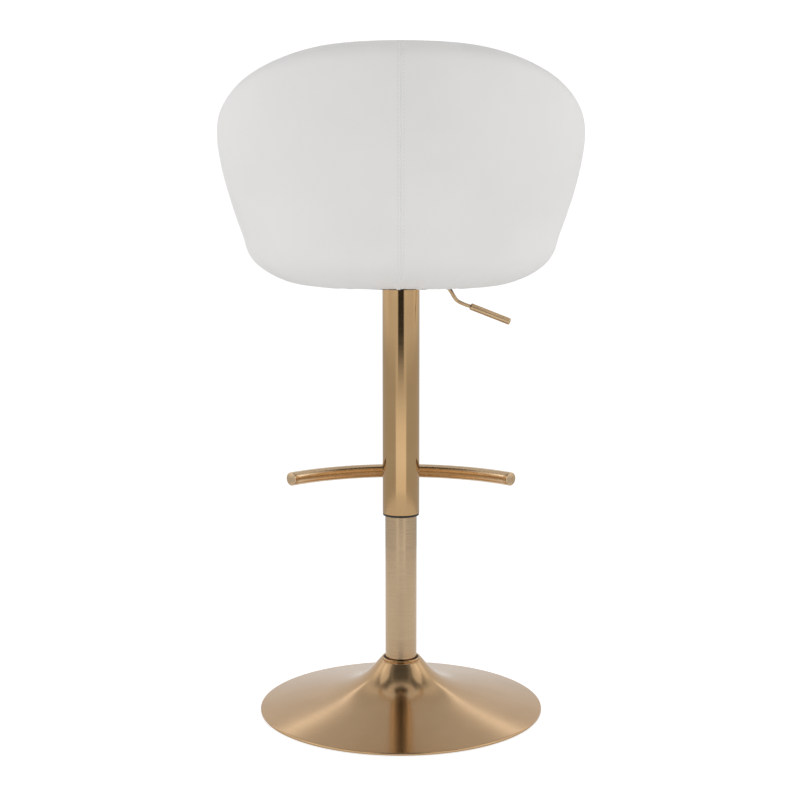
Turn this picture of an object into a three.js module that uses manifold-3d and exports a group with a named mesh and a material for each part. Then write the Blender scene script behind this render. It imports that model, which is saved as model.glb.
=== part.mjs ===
// Height-adjustable swivel bar stool: trumpet base, gas-lift column with a footrest, bucket seat.
// Millimetres, +Z up, origin on the floor under the column, front of the seat towards -Y.
// The seat is modelled at its highest setting.
import * as THREE from "three";
import { mergeVertices } from "three/addons/utils/BufferGeometryUtils.js";
import Module from "manifold-3d";

const wasm = await Module();
wasm.setup();

// ---- driving dimensions ----
const GAP = 0.3; // between faces that touch
const STROKE = 212; // travel of the gas lift

// base
const BASE_RADIUS = 225;
const RIM_LOW = 1.2; // lower edge of the base cover above the floor
const RIM_TOP = 5;
const COVER_SHEET = 1.4;
const BASE_SLOPE = 0.226; // rise per radius on the flat part of the base
const NECK_RADIUS = 30;
const NECK_TOP = 84;
const BELL_WIDTH = 26.5; // how fast the bell spreads below the neck
const BELL_POWER = 1.285;
const FLOOR_RING_INNER = 205;
const FLOOR_RING_OUTER = 221;
const BALLAST_RADIUS = 213;
const BALLAST_FLAT = 165; // the plate thins out beyond this radius
const BALLAST_LOW = 3.3;
const BALLAST_EDGE = 1.5;
const BALLAST_TOP = 14;
const SOCKET_OUTER = 34;
const SOCKET_TOP = 62;
const ANCHOR_RADIUS = 150; // circle of the three base screws
const ANCHOR_RING_HALF = 10; // half the width of the ring on that circle

// column
const LOWER_TUBE = 25; // outer radius of the fixed tube
const TUBE_WALL = 1.5;
const LOWER_TUBE_TOP = 395;
const COVER_TUBE = 29; // outer radius of the tube that hangs from the seat
const COVER_TUBE_LOW = 319.5;
const ROD = 5;
const CYLINDER = 14;
const CYLINDER_LOW = 260;
const CYLINDER_TAPER = 640; // height where the mounting taper starts
const TAPER_END = 12.9; // radius at the top of the taper

// footrest
const FOOTREST_Z = 365;
const FOOTREST_TUBE = 11;
const FOOTREST_RADIUS = 249; // of the arc that the bar follows
const FOOTREST_FRONT = -115; // the middle of the bar
const FOOTREST_HALF = 175; // from the middle to an end, across
const STUB_RADIUS = 9;

// seat shell
const SEAT_HALF_WIDTH = 281;
const SEAT_BACK = 232;
const SEAT_FRONT = 250;
const SEAT_LOW = 680;
const WALL_FULL = 906; // height where the wall stops spreading
const WALL_TAPER = 0.25; // share of the radius lost at the bottom of the wall
const WALL_TUCK = 0.03; // share lost again at the highest point of the back
const RIM_HIGH = 1038;
const CORNER_OUT = 110; // the rounded lower corner of the shell, across
const CORNER_UP = 60; // and upwards
const ROLL = 24; // radius of the padded roll along the rim
const OPENING = 112; // radius of the opening under the seat
const COVER_THICK = 6;
const CORE_THICK = 7.4;
// height of the rim at angles from the back, in degrees
const RIM_LINE = [
  [0, 1038], [20, 1036], [37, 1028], [47.6, 1015], [58.5, 1001], [66, 986], [75, 968],
  [82.7, 952], [90, 934], [105, 896], [120, 858], [140, 812], [160, 785], [180, 775],
];

// seat mechanism
const PLATE_HALF = 75;
const PLATE_TOP = SEAT_LOW + 17.8;
const PLATE_THICK = 3;
const TRAY_HALF_X = 50;
const TRAY_HALF_Y = 42;
const TRAY_LOW = 676.5;
const TRAY_WALL = 2.5;
const BOLT_OFFSET = 60;
const PIVOT = new THREE.Vector3(-30, 0, 688);
const LEVER_ROD = 3;
const LEVER_GRIP = 5.35;
const GRIP_START = new THREE.Vector3(-108, 0, 646.7);
const GRIP_END = new THREE.Vector3(-170, 0, 622.4);

// facets
const ROUND = 36; // large round pieces
const MEDIUM = 24; // tubes, and what fits round the gas cylinder
const INNER = 16; // hidden rings on the piston rod
const SMALL = 8; // screws and pins
const SHELL_STEPS = 28; // round the seat

// ---- geometry helpers ----
function bare(geometry) {
  const g = geometry.index ? geometry.toNonIndexed() : geometry.clone();
  return new THREE.BufferGeometry().setAttribute("position", g.getAttribute("position"));
}

function toSolid(geometry) {
  const merged = mergeVertices(bare(geometry), 1e-3);
  return new wasm.Manifold(
    new wasm.Mesh({
      numProp: 3,
      vertProperties: merged.attributes.position.array,
      triVerts: new Uint32Array(merged.index.array),
    }),
  );
}

function toGeometry(solid) {
  const mesh = solid.getMesh();
  const positions = new Float32Array(mesh.numVert * 3);
  for (let i = 0; i < mesh.numVert; i++) {
    const start = i * mesh.numProp;
    positions.set(mesh.vertProperties.subarray(start, start + 3), i * 3);
  }
  const g = new THREE.BufferGeometry()
    .setAttribute("position", new THREE.BufferAttribute(positions, 3))
    .setIndex(new THREE.BufferAttribute(mesh.triVerts, 1))
    .toNonIndexed();
  g.computeVertexNormals();
  return g;
}

function cut(geometry, ...tools) {
  let solid = toSolid(geometry);
  for (const tool of tools) solid = solid.subtract(toSolid(tool));
  return toGeometry(solid);
}

function join(geometry, ...others) {
  let solid = toSolid(geometry);
  for (const other of others) solid = solid.add(toSolid(other));
  return toGeometry(solid);
}

// A closed profile of [radius, height] points turned about the Z axis.
function turned(profile, segments) {
  const onAxis = profile[0][0] === 0 && profile[profile.length - 1][0] === 0;
  const closed = onAxis ? profile : [...profile, profile[0]];
  const points = closed.map(([r, z]) => new THREE.Vector2(r, z));
  return new THREE.LatheGeometry(points, segments).rotateX(Math.PI / 2);
}

function ring(inner, outer, low, high, segments = MEDIUM) {
  return turned([[inner, low], [outer, low], [outer, high], [inner, high]], segments);
}

function disc(radius, low, high, segments = SMALL) {
  return turned([[0, low], [radius, low], [radius, high], [0, high]], segments);
}

function box(x0, x1, y0, y1, z0, z1) {
  const g = new THREE.BoxGeometry(x1 - x0, y1 - y0, z1 - z0);
  return g.translate((x0 + x1) / 2, (y0 + y1) / 2, (z0 + z1) / 2);
}

function alongY(geometry, x, z) {
  return geometry.rotateX(Math.PI / 2).translate(x, 0, z);
}

// A round bar, or a tube when a bore is given, along a curve.
function swept(curve, radius, sides, steps, bore = 0) {
  const shape = new THREE.Shape().absarc(0, 0, radius, 0, 2 * Math.PI);
  if (bore) shape.holes.push(new THREE.Path().absarc(0, 0, bore, 0, 2 * Math.PI, true));
  return new THREE.ExtrudeGeometry(shape, {
    extrudePath: curve,
    steps,
    curveSegments: sides / 2,
    bevelEnabled: false,
  });
}

// A body turned about the line from one point to another; its profile heights start at the first.
function alongLine(geometry, from, to) {
  const axis = to.clone().sub(from).normalize();
  const turn = new THREE.Quaternion().setFromUnitVectors(new THREE.Vector3(0, 0, 1), axis);
  return geometry.applyQuaternion(turn).translate(from.x, from.y, from.z);
}

// ---- materials ----
function finish(color, roughness, metalness) {
  return () => new THREE.MeshStandardMaterial({ color, roughness, metalness });
}

const goldPolished = finish(0xc9a27a, 0.15, 1);
const goldSatin = finish(0xb99a74, 0.32, 1);
const steel = finish(0x9a9a9c, 0.4, 0.9);
const blackSteel = finish(0x232325, 0.5, 0.6);
const iron = finish(0x3a3a3c, 0.7, 0.7);
const nylon = finish(0x171717, 0.5, 0);
const rubber = finish(0x1d1d1d, 0.85, 0);
const leather = finish(0xe2dfdc, 0.5, 0);
const plywood = finish(0xc8a878, 0.65, 0);
const lining = finish(0x1b1b1c, 0.9, 0);

// ---- the assembly ----
const stool = new THREE.Group();

function add(name, geometry, material) {
  geometry.computeVertexNormals();
  const mesh = new THREE.Mesh(geometry, material());
  mesh.name = name;
  stool.add(mesh);
}

// ---- base ----
const BELL_RISE = NECK_TOP - RIM_TOP - BASE_SLOPE * (BASE_RADIUS - NECK_RADIUS);

function baseHeight(r) {
  const bell = Math.exp(-Math.pow(Math.max(r - NECK_RADIUS, 0) / BELL_WIDTH, BELL_POWER));
  return RIM_TOP + BASE_SLOPE * (BASE_RADIUS - r) + BELL_RISE * bell;
}

const CROWDING = 1.7; // how strongly the profile's points crowd towards the neck

// The base cover's outer line from the rim to the neck, moved inwards by a distance.
function baseLine(inset, steps) {
  const points = [];
  for (let i = 0; i <= steps; i++) {
    const r = NECK_RADIUS + (BASE_RADIUS - NECK_RADIUS) * Math.pow(1 - i / steps, CROWDING);
    const slope = (baseHeight(r + 0.01) - baseHeight(r)) / 0.01;
    const length = Math.hypot(1, slope);
    points.push([r + (inset * slope) / length, baseHeight(r) - inset / length]);
  }
  return points;
}

function trumpetCover() {
  const outside = baseLine(0, 11);
  const inside = baseLine(COVER_SHEET, 7).reverse();
  inside[0] = [NECK_RADIUS - COVER_SHEET - 0.6, NECK_TOP - 2.2];
  inside[inside.length - 1] = [BASE_RADIUS - COVER_SHEET, RIM_TOP - COVER_SHEET];
  const lip = [
    [NECK_RADIUS - 0.8, NECK_TOP + 0.8],
    [NECK_RADIUS - 2, NECK_TOP + 0.8],
  ];
  const foot = [[BASE_RADIUS - COVER_SHEET, RIM_LOW], [BASE_RADIUS, RIM_LOW]];
  return turned([...foot, ...outside, ...lip, ...inside], ROUND);
}

function atAngle(geometry, radius, index, count) {
  const angle = Math.PI / 2 + (2 * Math.PI * index) / count;
  return geometry.translate(radius * Math.cos(angle), radius * Math.sin(angle), 0);
}

const ANCHORS = 3;
const SHOULDER = 20; // radius of the bore under the column's seat
const ANCHOR_RING_TOP = BALLAST_TOP + 2.5;
const ANCHOR_SHANK = 2.9;
const ANCHOR_HEAD = 5.4;
const ANCHOR_HEAD_HIGH = BALLAST_LOW + 2.7;

function ballastPlate() {
  const socket = LOWER_TUBE + GAP;
  const body = turned(
    [
      [SHOULDER, BALLAST_LOW],
      [BALLAST_RADIUS, BALLAST_LOW],
      [BALLAST_RADIUS, BALLAST_LOW + BALLAST_EDGE],
      [BALLAST_FLAT, BALLAST_TOP],
      [SOCKET_OUTER, BALLAST_TOP],
      [SOCKET_OUTER, SOCKET_TOP],
      [socket, SOCKET_TOP],
      [socket, BALLAST_TOP],
      [SHOULDER, BALLAST_TOP],
    ],
    ROUND,
  );
  const holes = [];
  for (let i = 0; i < ANCHORS; i++) {
    const shankHole = disc(ANCHOR_SHANK + 0.4, 0, SOCKET_TOP);
    const headHole = disc(ANCHOR_HEAD + 0.6, 0, ANCHOR_HEAD_HIGH + GAP);
    holes.push(atAngle(shankHole, ANCHOR_RADIUS, i, ANCHORS));
    holes.push(atAngle(headHole, ANCHOR_RADIUS, i, ANCHORS));
  }
  return cut(body, ...holes);
}

function anchorRing() {
  const inner = ANCHOR_RADIUS - ANCHOR_RING_HALF;
  const outer = ANCHOR_RADIUS + ANCHOR_RING_HALF;
  const body = ring(inner, outer, BALLAST_TOP + GAP, ANCHOR_RING_TOP);
  const holes = [];
  for (let i = 0; i < ANCHORS; i++) {
    holes.push(atAngle(disc(ANCHOR_SHANK + GAP, 0, SOCKET_TOP), ANCHOR_RADIUS, i, ANCHORS));
  }
  return cut(body, ...holes);
}

function anchorScrew() {
  return turned(
    [
      [0, BALLAST_LOW + GAP],
      [ANCHOR_HEAD, BALLAST_LOW + GAP],
      [ANCHOR_HEAD, ANCHOR_HEAD_HIGH],
      [ANCHOR_SHANK, ANCHOR_HEAD_HIGH],
      [ANCHOR_SHANK, ANCHOR_RING_TOP],
      [0, ANCHOR_RING_TOP],
    ],
    SMALL,
  );
}

add("floor_ring", ring(FLOOR_RING_INNER, FLOOR_RING_OUTER, 0, BALLAST_LOW - GAP, ROUND), rubber);
add("ballast_plate", ballastPlate(), iron);
add("trumpet_cover", trumpetCover(), goldSatin);
add("anchor_ring", anchorRing(), steel);
for (let i = 0; i < ANCHORS; i++) {
  add(`anchor_screw_${i + 1}`, atAngle(anchorScrew(), ANCHOR_RADIUS, i, ANCHORS), steel);
}
add("neck_bush", ring(LOWER_TUBE + GAP, NECK_RADIUS - 2.4, NECK_TOP - 8, NECK_TOP - 1), nylon);

// ---- column fixed to the base ----
const TUBE_BORE = LOWER_TUBE - TUBE_WALL;
const END_PLATE_TOP = 19;
const RACE_LOW = END_PLATE_TOP + GAP;
const RACE_HEIGHT = 2.3;
const RACE_OUTER = 14;
const BALL = 1.8;
const BALL_CIRCLE = 10.7;
const BALL_COUNT = 8;
const CAGE_HALF_WIDTH = 2.5;
const CAGE_HALF_THICK = 0.8;
const BALL_Z = RACE_LOW + RACE_HEIGHT + GAP + BALL;
const UPPER_RACE_LOW = BALL_Z + BALL + GAP;
const COLLAR_LOW = UPPER_RACE_LOW + RACE_HEIGHT + GAP;
const COLLAR_THICK = 2;
const BUMPER_LOW = COLLAR_LOW + COLLAR_THICK + GAP;
const RUNNING = 0.3; // clearance of the sliding and turning fits
const LOWER_RACE_BORE = 7.5;
const GUIDE_LOW = 330;

function ballCage() {
  const inner = BALL_CIRCLE - CAGE_HALF_WIDTH;
  const outer = BALL_CIRCLE + CAGE_HALF_WIDTH;
  let cage = toSolid(ring(inner, outer, BALL_Z - CAGE_HALF_THICK, BALL_Z + CAGE_HALF_THICK, INNER));
  for (let i = 0; i < BALL_COUNT; i++) {
    const angle = (2 * Math.PI * i) / BALL_COUNT;
    const ball = new THREE.SphereGeometry(BALL, 6, 4);
    ball.translate(BALL_CIRCLE * Math.cos(angle), BALL_CIRCLE * Math.sin(angle), BALL_Z);
    cage = cage.add(toSolid(ball));
  }
  return toGeometry(cage);
}

add("lower_column", ring(TUBE_BORE, LOWER_TUBE, BALLAST_TOP + GAP, LOWER_TUBE_TOP), goldSatin);
add("column_end_plate",
  ring(ROD + RUNNING, TUBE_BORE - GAP, BALLAST_TOP + 2 * GAP, END_PLATE_TOP, INNER), steel);
add("guide_bush",
  ring(CYLINDER + RUNNING, TUBE_BORE - GAP, GUIDE_LOW, LOWER_TUBE_TOP - 2), nylon);
add("bearing_lower_race",
  ring(LOWER_RACE_BORE, RACE_OUTER, RACE_LOW, RACE_LOW + RACE_HEIGHT, INNER), steel);
add("bearing_ball_cage", ballCage(), steel);

// ---- gas lift ----
const ROD_LOW = 6;
const PISTON_TOP = 290;
const PISTON_HEIGHT = 13;
const COLLAR = 9.5;
const CLIP = 9;
const BUMPER = 12;
const CYLINDER_WALL = 1.5;
const VALVE_HOLE = 3.2;
const CYLINDER_TOP = SEAT_LOW + 0.5;
const CYLINDER_BORE_TOP = CYLINDER_TAPER - 4;
const VALVE_TOP = PIVOT.z - LEVER_ROD - GAP;

add("piston_rod", disc(ROD, ROD_LOW, PISTON_TOP), steel);
add("piston",
  ring(ROD + GAP, CYLINDER - CYLINDER_WALL - GAP, PISTON_TOP - 2 - PISTON_HEIGHT, PISTON_TOP - 2,
    INNER),
  nylon);
add("bearing_upper_race",
  ring(ROD + GAP, RACE_OUTER, UPPER_RACE_LOW, UPPER_RACE_LOW + RACE_HEIGHT, INNER), steel);
add("rod_collar", ring(ROD + GAP, COLLAR, COLLAR_LOW, COLLAR_LOW + COLLAR_THICK, INNER), steel);
add("rod_clip", ring(ROD + GAP, CLIP, BALLAST_TOP - 2, BALLAST_TOP + GAP, INNER), steel);
add("rubber_bumper", ring(ROD + GAP, BUMPER, BUMPER_LOW, CYLINDER_LOW - STROKE - 2, INNER), rubber);

function gasCylinder() {
  const bore = CYLINDER - CYLINDER_WALL;
  return turned(
    [
      [bore, CYLINDER_LOW],
      [CYLINDER, CYLINDER_LOW],
      [CYLINDER, CYLINDER_TAPER],
      [TAPER_END, CYLINDER_TOP],
      [VALVE_HOLE, CYLINDER_TOP],
      [VALVE_HOLE, CYLINDER_BORE_TOP],
      [bore, CYLINDER_BORE_TOP],
    ],
    MEDIUM,
  );
}

add("gas_cylinder", gasCylinder(), blackSteel);
add("rod_gland",
  ring(ROD + RUNNING, CYLINDER - CYLINDER_WALL - GAP, CYLINDER_LOW + 2, CYLINDER_LOW + 12, INNER),
  nylon);
add("valve_pin", disc(VALVE_HOLE - RUNNING, CYLINDER_BORE_TOP - 6, VALVE_TOP), steel);

// ---- cover tube ----
const COVER_BORE = COVER_TUBE - TUBE_WALL;
const BUSH_LIP = 3;
const BUSH_SLEEVE = 32;
const TOP_BUSH_LOW = 615;
const TOP_BUSH_HEIGHT = 18;

function coverBush() {
  const inner = LOWER_TUBE + RUNNING;
  const sleeve = COVER_BORE - GAP;
  const lip = COVER_TUBE_LOW - GAP;
  const outer = COVER_TUBE - 0.4;
  return turned(
    [
      [inner, lip - BUSH_LIP],
      [outer, lip - BUSH_LIP],
      [outer, lip],
      [sleeve, lip],
      [sleeve, lip + BUSH_SLEEVE],
      [inner, lip + BUSH_SLEEVE],
    ],
    MEDIUM,
  );
}

add("cover_tube", ring(COVER_BORE, COVER_TUBE, COVER_TUBE_LOW, TRAY_LOW - GAP, ROUND), goldPolished);
add("cover_bush", coverBush(), nylon);
add("top_bush",
  ring(CYLINDER + GAP, COVER_BORE - GAP, TOP_BUSH_LOW, TOP_BUSH_LOW + TOP_BUSH_HEIGHT), nylon);

// ---- footrest ----
const ARC_CENTRE_Y = FOOTREST_FRONT + FOOTREST_RADIUS;
const ARC_HALF_ANGLE = Math.asin(FOOTREST_HALF / FOOTREST_RADIUS);

const FOOTREST_SIDES = 12;
const FOOTREST_STEPS = 14;
const CAP_DOME = 6;
const CAP_SPIGOT = 8;

class FootrestArc extends THREE.Curve {
  getPoint(t, target = new THREE.Vector3()) {
    const angle = ARC_HALF_ANGLE * (2 * t - 1);
    return target.set(
      FOOTREST_RADIUS * Math.sin(angle),
      ARC_CENTRE_Y - FOOTREST_RADIUS * Math.cos(angle),
      FOOTREST_Z,
    );
  }
}

function footrestStub() {
  const stub = disc(STUB_RADIUS, 0, -FOOTREST_FRONT, MEDIUM)
    .rotateX(Math.PI / 2)
    .translate(0, 0, FOOTREST_Z);
  const column = disc(COVER_TUBE + GAP, FOOTREST_Z - 40, FOOTREST_Z + 40, ROUND);
  const bar = swept(new FootrestArc(), FOOTREST_TUBE + GAP, FOOTREST_SIDES, FOOTREST_STEPS);
  return cut(stub, column, bar);
}

// A domed plug whose spigot sits in the tube's end.
function footrestCap(side) {
  const spigot = FOOTREST_TUBE - TUBE_WALL - 3 * GAP;
  const profile = [[0, -CAP_SPIGOT], [spigot, -CAP_SPIGOT], [spigot, GAP], [FOOTREST_TUBE, GAP]];
  for (const degrees of [22.5, 45, 67.5]) {
    const rise = THREE.MathUtils.degToRad(degrees);
    profile.push([FOOTREST_TUBE * Math.cos(rise), GAP + CAP_DOME * Math.sin(rise)]);
  }
  profile.push([0, GAP + CAP_DOME]);
  const angle = ARC_HALF_ANGLE * side;
  const end = new FootrestArc().getPoint(side > 0 ? 1 : 0);
  const outward = new THREE.Vector3(Math.cos(angle) * side, Math.sin(angle) * side, 0);
  return alongLine(turned(profile, FOOTREST_SIDES), end, end.clone().add(outward));
}

add("footrest_bar",
  swept(new FootrestArc(), FOOTREST_TUBE, FOOTREST_SIDES, FOOTREST_STEPS,
    FOOTREST_TUBE - TUBE_WALL),
  goldPolished);
add("footrest_stub", footrestStub(), goldPolished);
add("footrest_cap_left", footrestCap(1), goldPolished);
add("footrest_cap_right", footrestCap(-1), goldPolished);

// ---- seat mechanism ----
const PLATE_LOW = PLATE_TOP - PLATE_THICK;
const TRAY_TOP = PLATE_LOW - GAP;
const HUB_OUTER = 20;
const PIN = 2.5;
const BOLT = 3.9; // radius of the seat bolts
const HIGH = SEAT_LOW + 100; // above everything the cutting tools have to pass through
const CORNERS = [[1, 1], [-1, 1], [-1, -1], [1, -1]];

function hub() {
  return turned(
    [
      [CYLINDER + GAP, CYLINDER_TAPER],
      [HUB_OUTER, CYLINDER_TAPER],
      [HUB_OUTER, SEAT_LOW],
      [TAPER_END + GAP, SEAT_LOW],
    ],
    MEDIUM,
  );
}

function mechanismTray() {
  const innerX = TRAY_HALF_X - TRAY_WALL;
  const innerY = TRAY_HALF_Y - TRAY_WALL;
  const outside = box(-TRAY_HALF_X, TRAY_HALF_X, -TRAY_HALF_Y, TRAY_HALF_Y, TRAY_LOW, TRAY_TOP);
  const inside = box(-innerX, innerX, -innerY, innerY, TRAY_LOW + TRAY_WALL, HIGH);
  const slotHalf = LEVER_ROD + 3;
  const leverSlot = box(-TRAY_HALF_X - 5, -innerX + 2, -slotHalf, slotHalf, PIVOT.z - slotHalf, HIGH);
  const hubHole = disc(HUB_OUTER + GAP, TRAY_LOW - 5, HIGH, MEDIUM);
  const pinHole = alongY(disc(PIN + GAP, -60, 60), PIVOT.x, PIVOT.z);
  return cut(outside, inside, leverSlot, hubHole, pinHole);
}

function mechanismPlate() {
  const holes = CORNERS.map(([x, y]) =>
    disc(BOLT + 0.7, PLATE_LOW - 5, HIGH).translate(x * BOLT_OFFSET, y * BOLT_OFFSET, 0),
  );
  return cut(box(-PLATE_HALF, PLATE_HALF, -PLATE_HALF, PLATE_HALF, PLATE_LOW, PLATE_TOP), ...holes);
}

// lever: a bent rod on a boss round the pivot pin, with a grip on its outer end
const LEVER_LINE = [
  [4, 688], [-30, 688], [-50, 687.6], [-64, 683], [-75, 673.5], [-87, 656], [-98, 650],
  [-112, 645.1], [-150, 630.2], [-164, 624.8],
];
const LEVER_PATH = new THREE.CatmullRomCurve3(LEVER_LINE.map(([x, z]) => new THREE.Vector3(x, 0, z)));
const BOSS = 5.5;
const BOSS_HALF = 5;

function leverRod() {
  const rod = swept(LEVER_PATH, LEVER_ROD, 8, 22);
  const boss = alongY(disc(BOSS, -BOSS_HALF, BOSS_HALF, INNER), PIVOT.x, PIVOT.z);
  const bore = alongY(disc(PIN + GAP, -20, 20), PIVOT.x, PIVOT.z);
  return cut(join(rod, boss), bore);
}

function leverGrip() {
  const length = GRIP_START.distanceTo(GRIP_END);
  const bore = LEVER_ROD + 0.5;
  const outside = disc(LEVER_GRIP, 0, length, INNER);
  const blind = disc(bore, -5, length - 3, INNER);
  return alongLine(cut(outside, blind), GRIP_START, GRIP_END);
}

add("hub", hub(), steel);
add("mechanism_tray", mechanismTray(), blackSteel);
add("mechanism_plate", mechanismPlate(), blackSteel);
add("lever_pivot_pin",
  alongY(disc(PIN, -TRAY_HALF_Y - 1, TRAY_HALF_Y + 1), PIVOT.x, PIVOT.z), steel);
add("lever_rod", leverRod(), goldPolished);
add("lever_grip", leverGrip(), goldPolished);

// ---- seat board and its fasteners ----
const BOARD_LOW = PLATE_TOP + GAP;
const BOARD_HIGH = BOARD_LOW + 10;
const WASHER = 8.5;
const WASHER_THICK = 1.6;
const WASHER_LOW = PLATE_LOW - GAP - WASHER_THICK;
const BOLT_HEAD = 7.5;
const HEAD_HIGH = WASHER_LOW - GAP;
const HEAD_LOW = HEAD_HIGH - 5.3;
const BOLT_TIP = BOARD_HIGH + 1;
const NUT_SLEEVE = 5.2;
const NUT_FLANGE = 10.5;
const NUT_THICK = 1.5;
const SCREW_SHANK = 2;
const SCREW_SPOTS = [[118, 20], [-118, 20], [-118, -20], [118, -20]];

// Plan of the seat, two half ellipses. The angle runs from the back towards +X.
function plan(angle) {
  const depth = Math.cos(angle) > 0 ? SEAT_BACK : SEAT_FRONT;
  return 1 / Math.hypot(Math.sin(angle) / SEAT_HALF_WIDTH, Math.cos(angle) / depth);
}

function rimHeight(angle) {
  const turn = THREE.MathUtils.euclideanModulo(THREE.MathUtils.radToDeg(angle), 360);
  const degrees = turn > 180 ? 360 - turn : turn;
  let i = 1;
  while (RIM_LINE[i][0] < degrees) i++;
  const [d0, z0] = RIM_LINE[i - 1];
  const [d1, z1] = RIM_LINE[i];
  return THREE.MathUtils.lerp(z0, z1, (degrees - d0) / (d1 - d0));
}

function wallRadius(angle, z) {
  const share = (z - SEAT_LOW) / (WALL_FULL - SEAT_LOW);
  const above = Math.max(z - WALL_FULL, 0) / (RIM_HIGH - WALL_FULL);
  const spread = share < 1 ? 1 - WALL_TAPER * Math.pow(1 - share, 1.5) : 1 - WALL_TUCK * above ** 2;
  return plan(angle) * spread;
}

const CORNER_TOP = SEAT_LOW + CORNER_UP;

// A point on the rounded lower corner, the shell's surface moved inwards by an inset.
function cornerPoint(angle, inset, turn) {
  const centre = wallRadius(angle, CORNER_TOP) - CORNER_OUT;
  return [
    centre + (CORNER_OUT - inset) * Math.cos(turn),
    CORNER_TOP - (CORNER_UP - inset) * Math.sin(turn),
  ];
}

const CORNER_TURNS = [3, 2, 1, 0].map((step) => (step * Math.PI) / 8);
const WALL_SHARES = [0.3, 0.65, 1];
const ROLL_TURNS = [1, 2, 3].map((step) => (step * Math.PI) / 6);

function wallPoint(angle, inset, share, lift = 0) {
  const top = rimHeight(angle) - ROLL;
  const z = CORNER_TOP + share * (top - CORNER_TOP);
  return [wallRadius(angle, z) - inset, z + lift];
}

function rollPoint(angle, radius, turn) {
  const top = rimHeight(angle) - ROLL;
  const centre = wallRadius(angle, top) - ROLL;
  return [centre + radius * Math.cos(turn), top + radius * Math.sin(turn)];
}

// First point of a layer, on the edge of the opening under the seat.
function openingPoint(angle, inset) {
  const centre = wallRadius(angle, CORNER_TOP) - CORNER_OUT;
  const share = Math.max(0, (OPENING - centre) / (CORNER_OUT - inset));
  return [OPENING, CORNER_TOP - (CORNER_UP - inset) * Math.sqrt(1 - share ** 2)];
}

function shellLine(angle, inset) {
  return [
    openingPoint(angle, inset),
    ...CORNER_TURNS.map((turn) => cornerPoint(angle, inset, turn)),
    ...WALL_SHARES.map((share) => wallPoint(angle, inset, share)),
  ];
}

// A closed band round the seat: each angle gives a closed section of [radius, height] points.
// Every face is split the same way, so that nested bands stay apart.
function band(section) {
  const rings = [];
  for (let i = 0; i < SHELL_STEPS; i++) {
    const angle = (2 * Math.PI * i) / SHELL_STEPS;
    rings.push(
      section(angle).map(([r, z]) => new THREE.Vector3(r * Math.sin(angle), r * Math.cos(angle), z)),
    );
  }
  const count = rings[0].length;
  const positions = [];
  for (let i = 0; i < SHELL_STEPS; i++) {
    const here = rings[i];
    const next = rings[(i + 1) % SHELL_STEPS];
    for (let j = 0; j < count; j++) {
      const k = (j + 1) % count;
      const [a, b, c, d] = [here[j], here[k], next[k], next[j]];
      const corners = b.z >= a.z ? [a, b, d, b, c, d] : [a, b, c, a, c, d];
      for (const p of corners) positions.push(p.x, p.y, p.z);
    }
  }
  return new THREE.BufferGeometry().setAttribute(
    "position",
    new THREE.Float32BufferAttribute(positions, 3),
  );
}

// A solid without a hole: stacked outlines from the bottom up, closed at both ends.
function stack(outlines) {
  const loops = outlines.map((outline) => {
    const loop = [];
    for (let i = 0; i < SHELL_STEPS; i++) {
      const angle = (2 * Math.PI * i) / SHELL_STEPS;
      const [r, z] = outline(angle);
      loop.push([r * Math.sin(angle), r * Math.cos(angle), z]);
    }
    return loop;
  });
  const positions = [];
  const face = (a, b, c) => positions.push(...a, ...b, ...c);
  const middle = (loop) => [0, 0, loop[0][2]];
  for (let i = 0; i < SHELL_STEPS; i++) {
    const k = (i + 1) % SHELL_STEPS;
    const low = loops[0];
    const high = loops[loops.length - 1];
    face(middle(low), low[i], low[k]);
    face(middle(high), high[k], high[i]);
    for (let j = 0; j + 1 < loops.length; j++) {
      face(loops[j][i], loops[j + 1][i], loops[j][k]);
      face(loops[j][k], loops[j + 1][i], loops[j + 1][k]);
    }
  }
  return new THREE.BufferGeometry().setAttribute(
    "position",
    new THREE.Float32BufferAttribute(positions, 3),
  );
}

function seatBoard() {
  const inset = COVER_THICK + CORE_THICK + 3 * GAP;
  const lowTurn = (3 * Math.PI) / 8;
  const body = stack([
    (angle) => [cornerPoint(angle, inset, lowTurn)[0], BOARD_LOW],
    (angle) => [cornerPoint(angle, inset, lowTurn)[0] + 20, BOARD_HIGH],
  ]);
  const bores = CORNERS.map(([x, y]) =>
    disc(NUT_SLEEVE + 0.4, BOARD_LOW - 5, HIGH).translate(x * BOLT_OFFSET, y * BOLT_OFFSET, 0),
  );
  const pilots = SCREW_SPOTS.map(([x, y]) =>
    disc(SCREW_SHANK + GAP, BOARD_LOW - 5, HIGH).translate(x, y, 0),
  );
  return cut(body, ...bores, ...pilots);
}

function seatBolt() {
  const head = disc(BOLT_HEAD, HEAD_LOW, HEAD_HIGH, 6);
  return join(head, disc(BOLT, HEAD_LOW + 1, BOLT_TIP));
}

function seatWasher() {
  return ring(BOLT + 0.5, WASHER, WASHER_LOW, WASHER_LOW + WASHER_THICK, SMALL);
}

function teeNut() {
  const flange = BOARD_HIGH + GAP;
  return turned(
    [
      [BOLT + GAP, BOARD_LOW + 2],
      [NUT_SLEEVE, BOARD_LOW + 2],
      [NUT_SLEEVE, flange],
      [NUT_FLANGE, flange],
      [NUT_FLANGE, flange + NUT_THICK],
      [BOLT + GAP, flange + NUT_THICK],
    ],
    SMALL,
  );
}

const CORE_LOW = SEAT_LOW + COVER_THICK + GAP;
const SCREW_HEAD = 4.4;
const SCREW_HEAD_HIGH = CORE_LOW + 3.7;

function shellScrew() {
  const low = CORE_LOW + 1.4;
  const tip = BOARD_HIGH - 1;
  return turned(
    [
      [0, low],
      [SCREW_HEAD, low],
      [SCREW_HEAD, SCREW_HEAD_HIGH],
      [SCREW_SHANK, SCREW_HEAD_HIGH],
      [SCREW_SHANK, tip],
      [0, tip],
    ],
    SMALL,
  );
}

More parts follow.
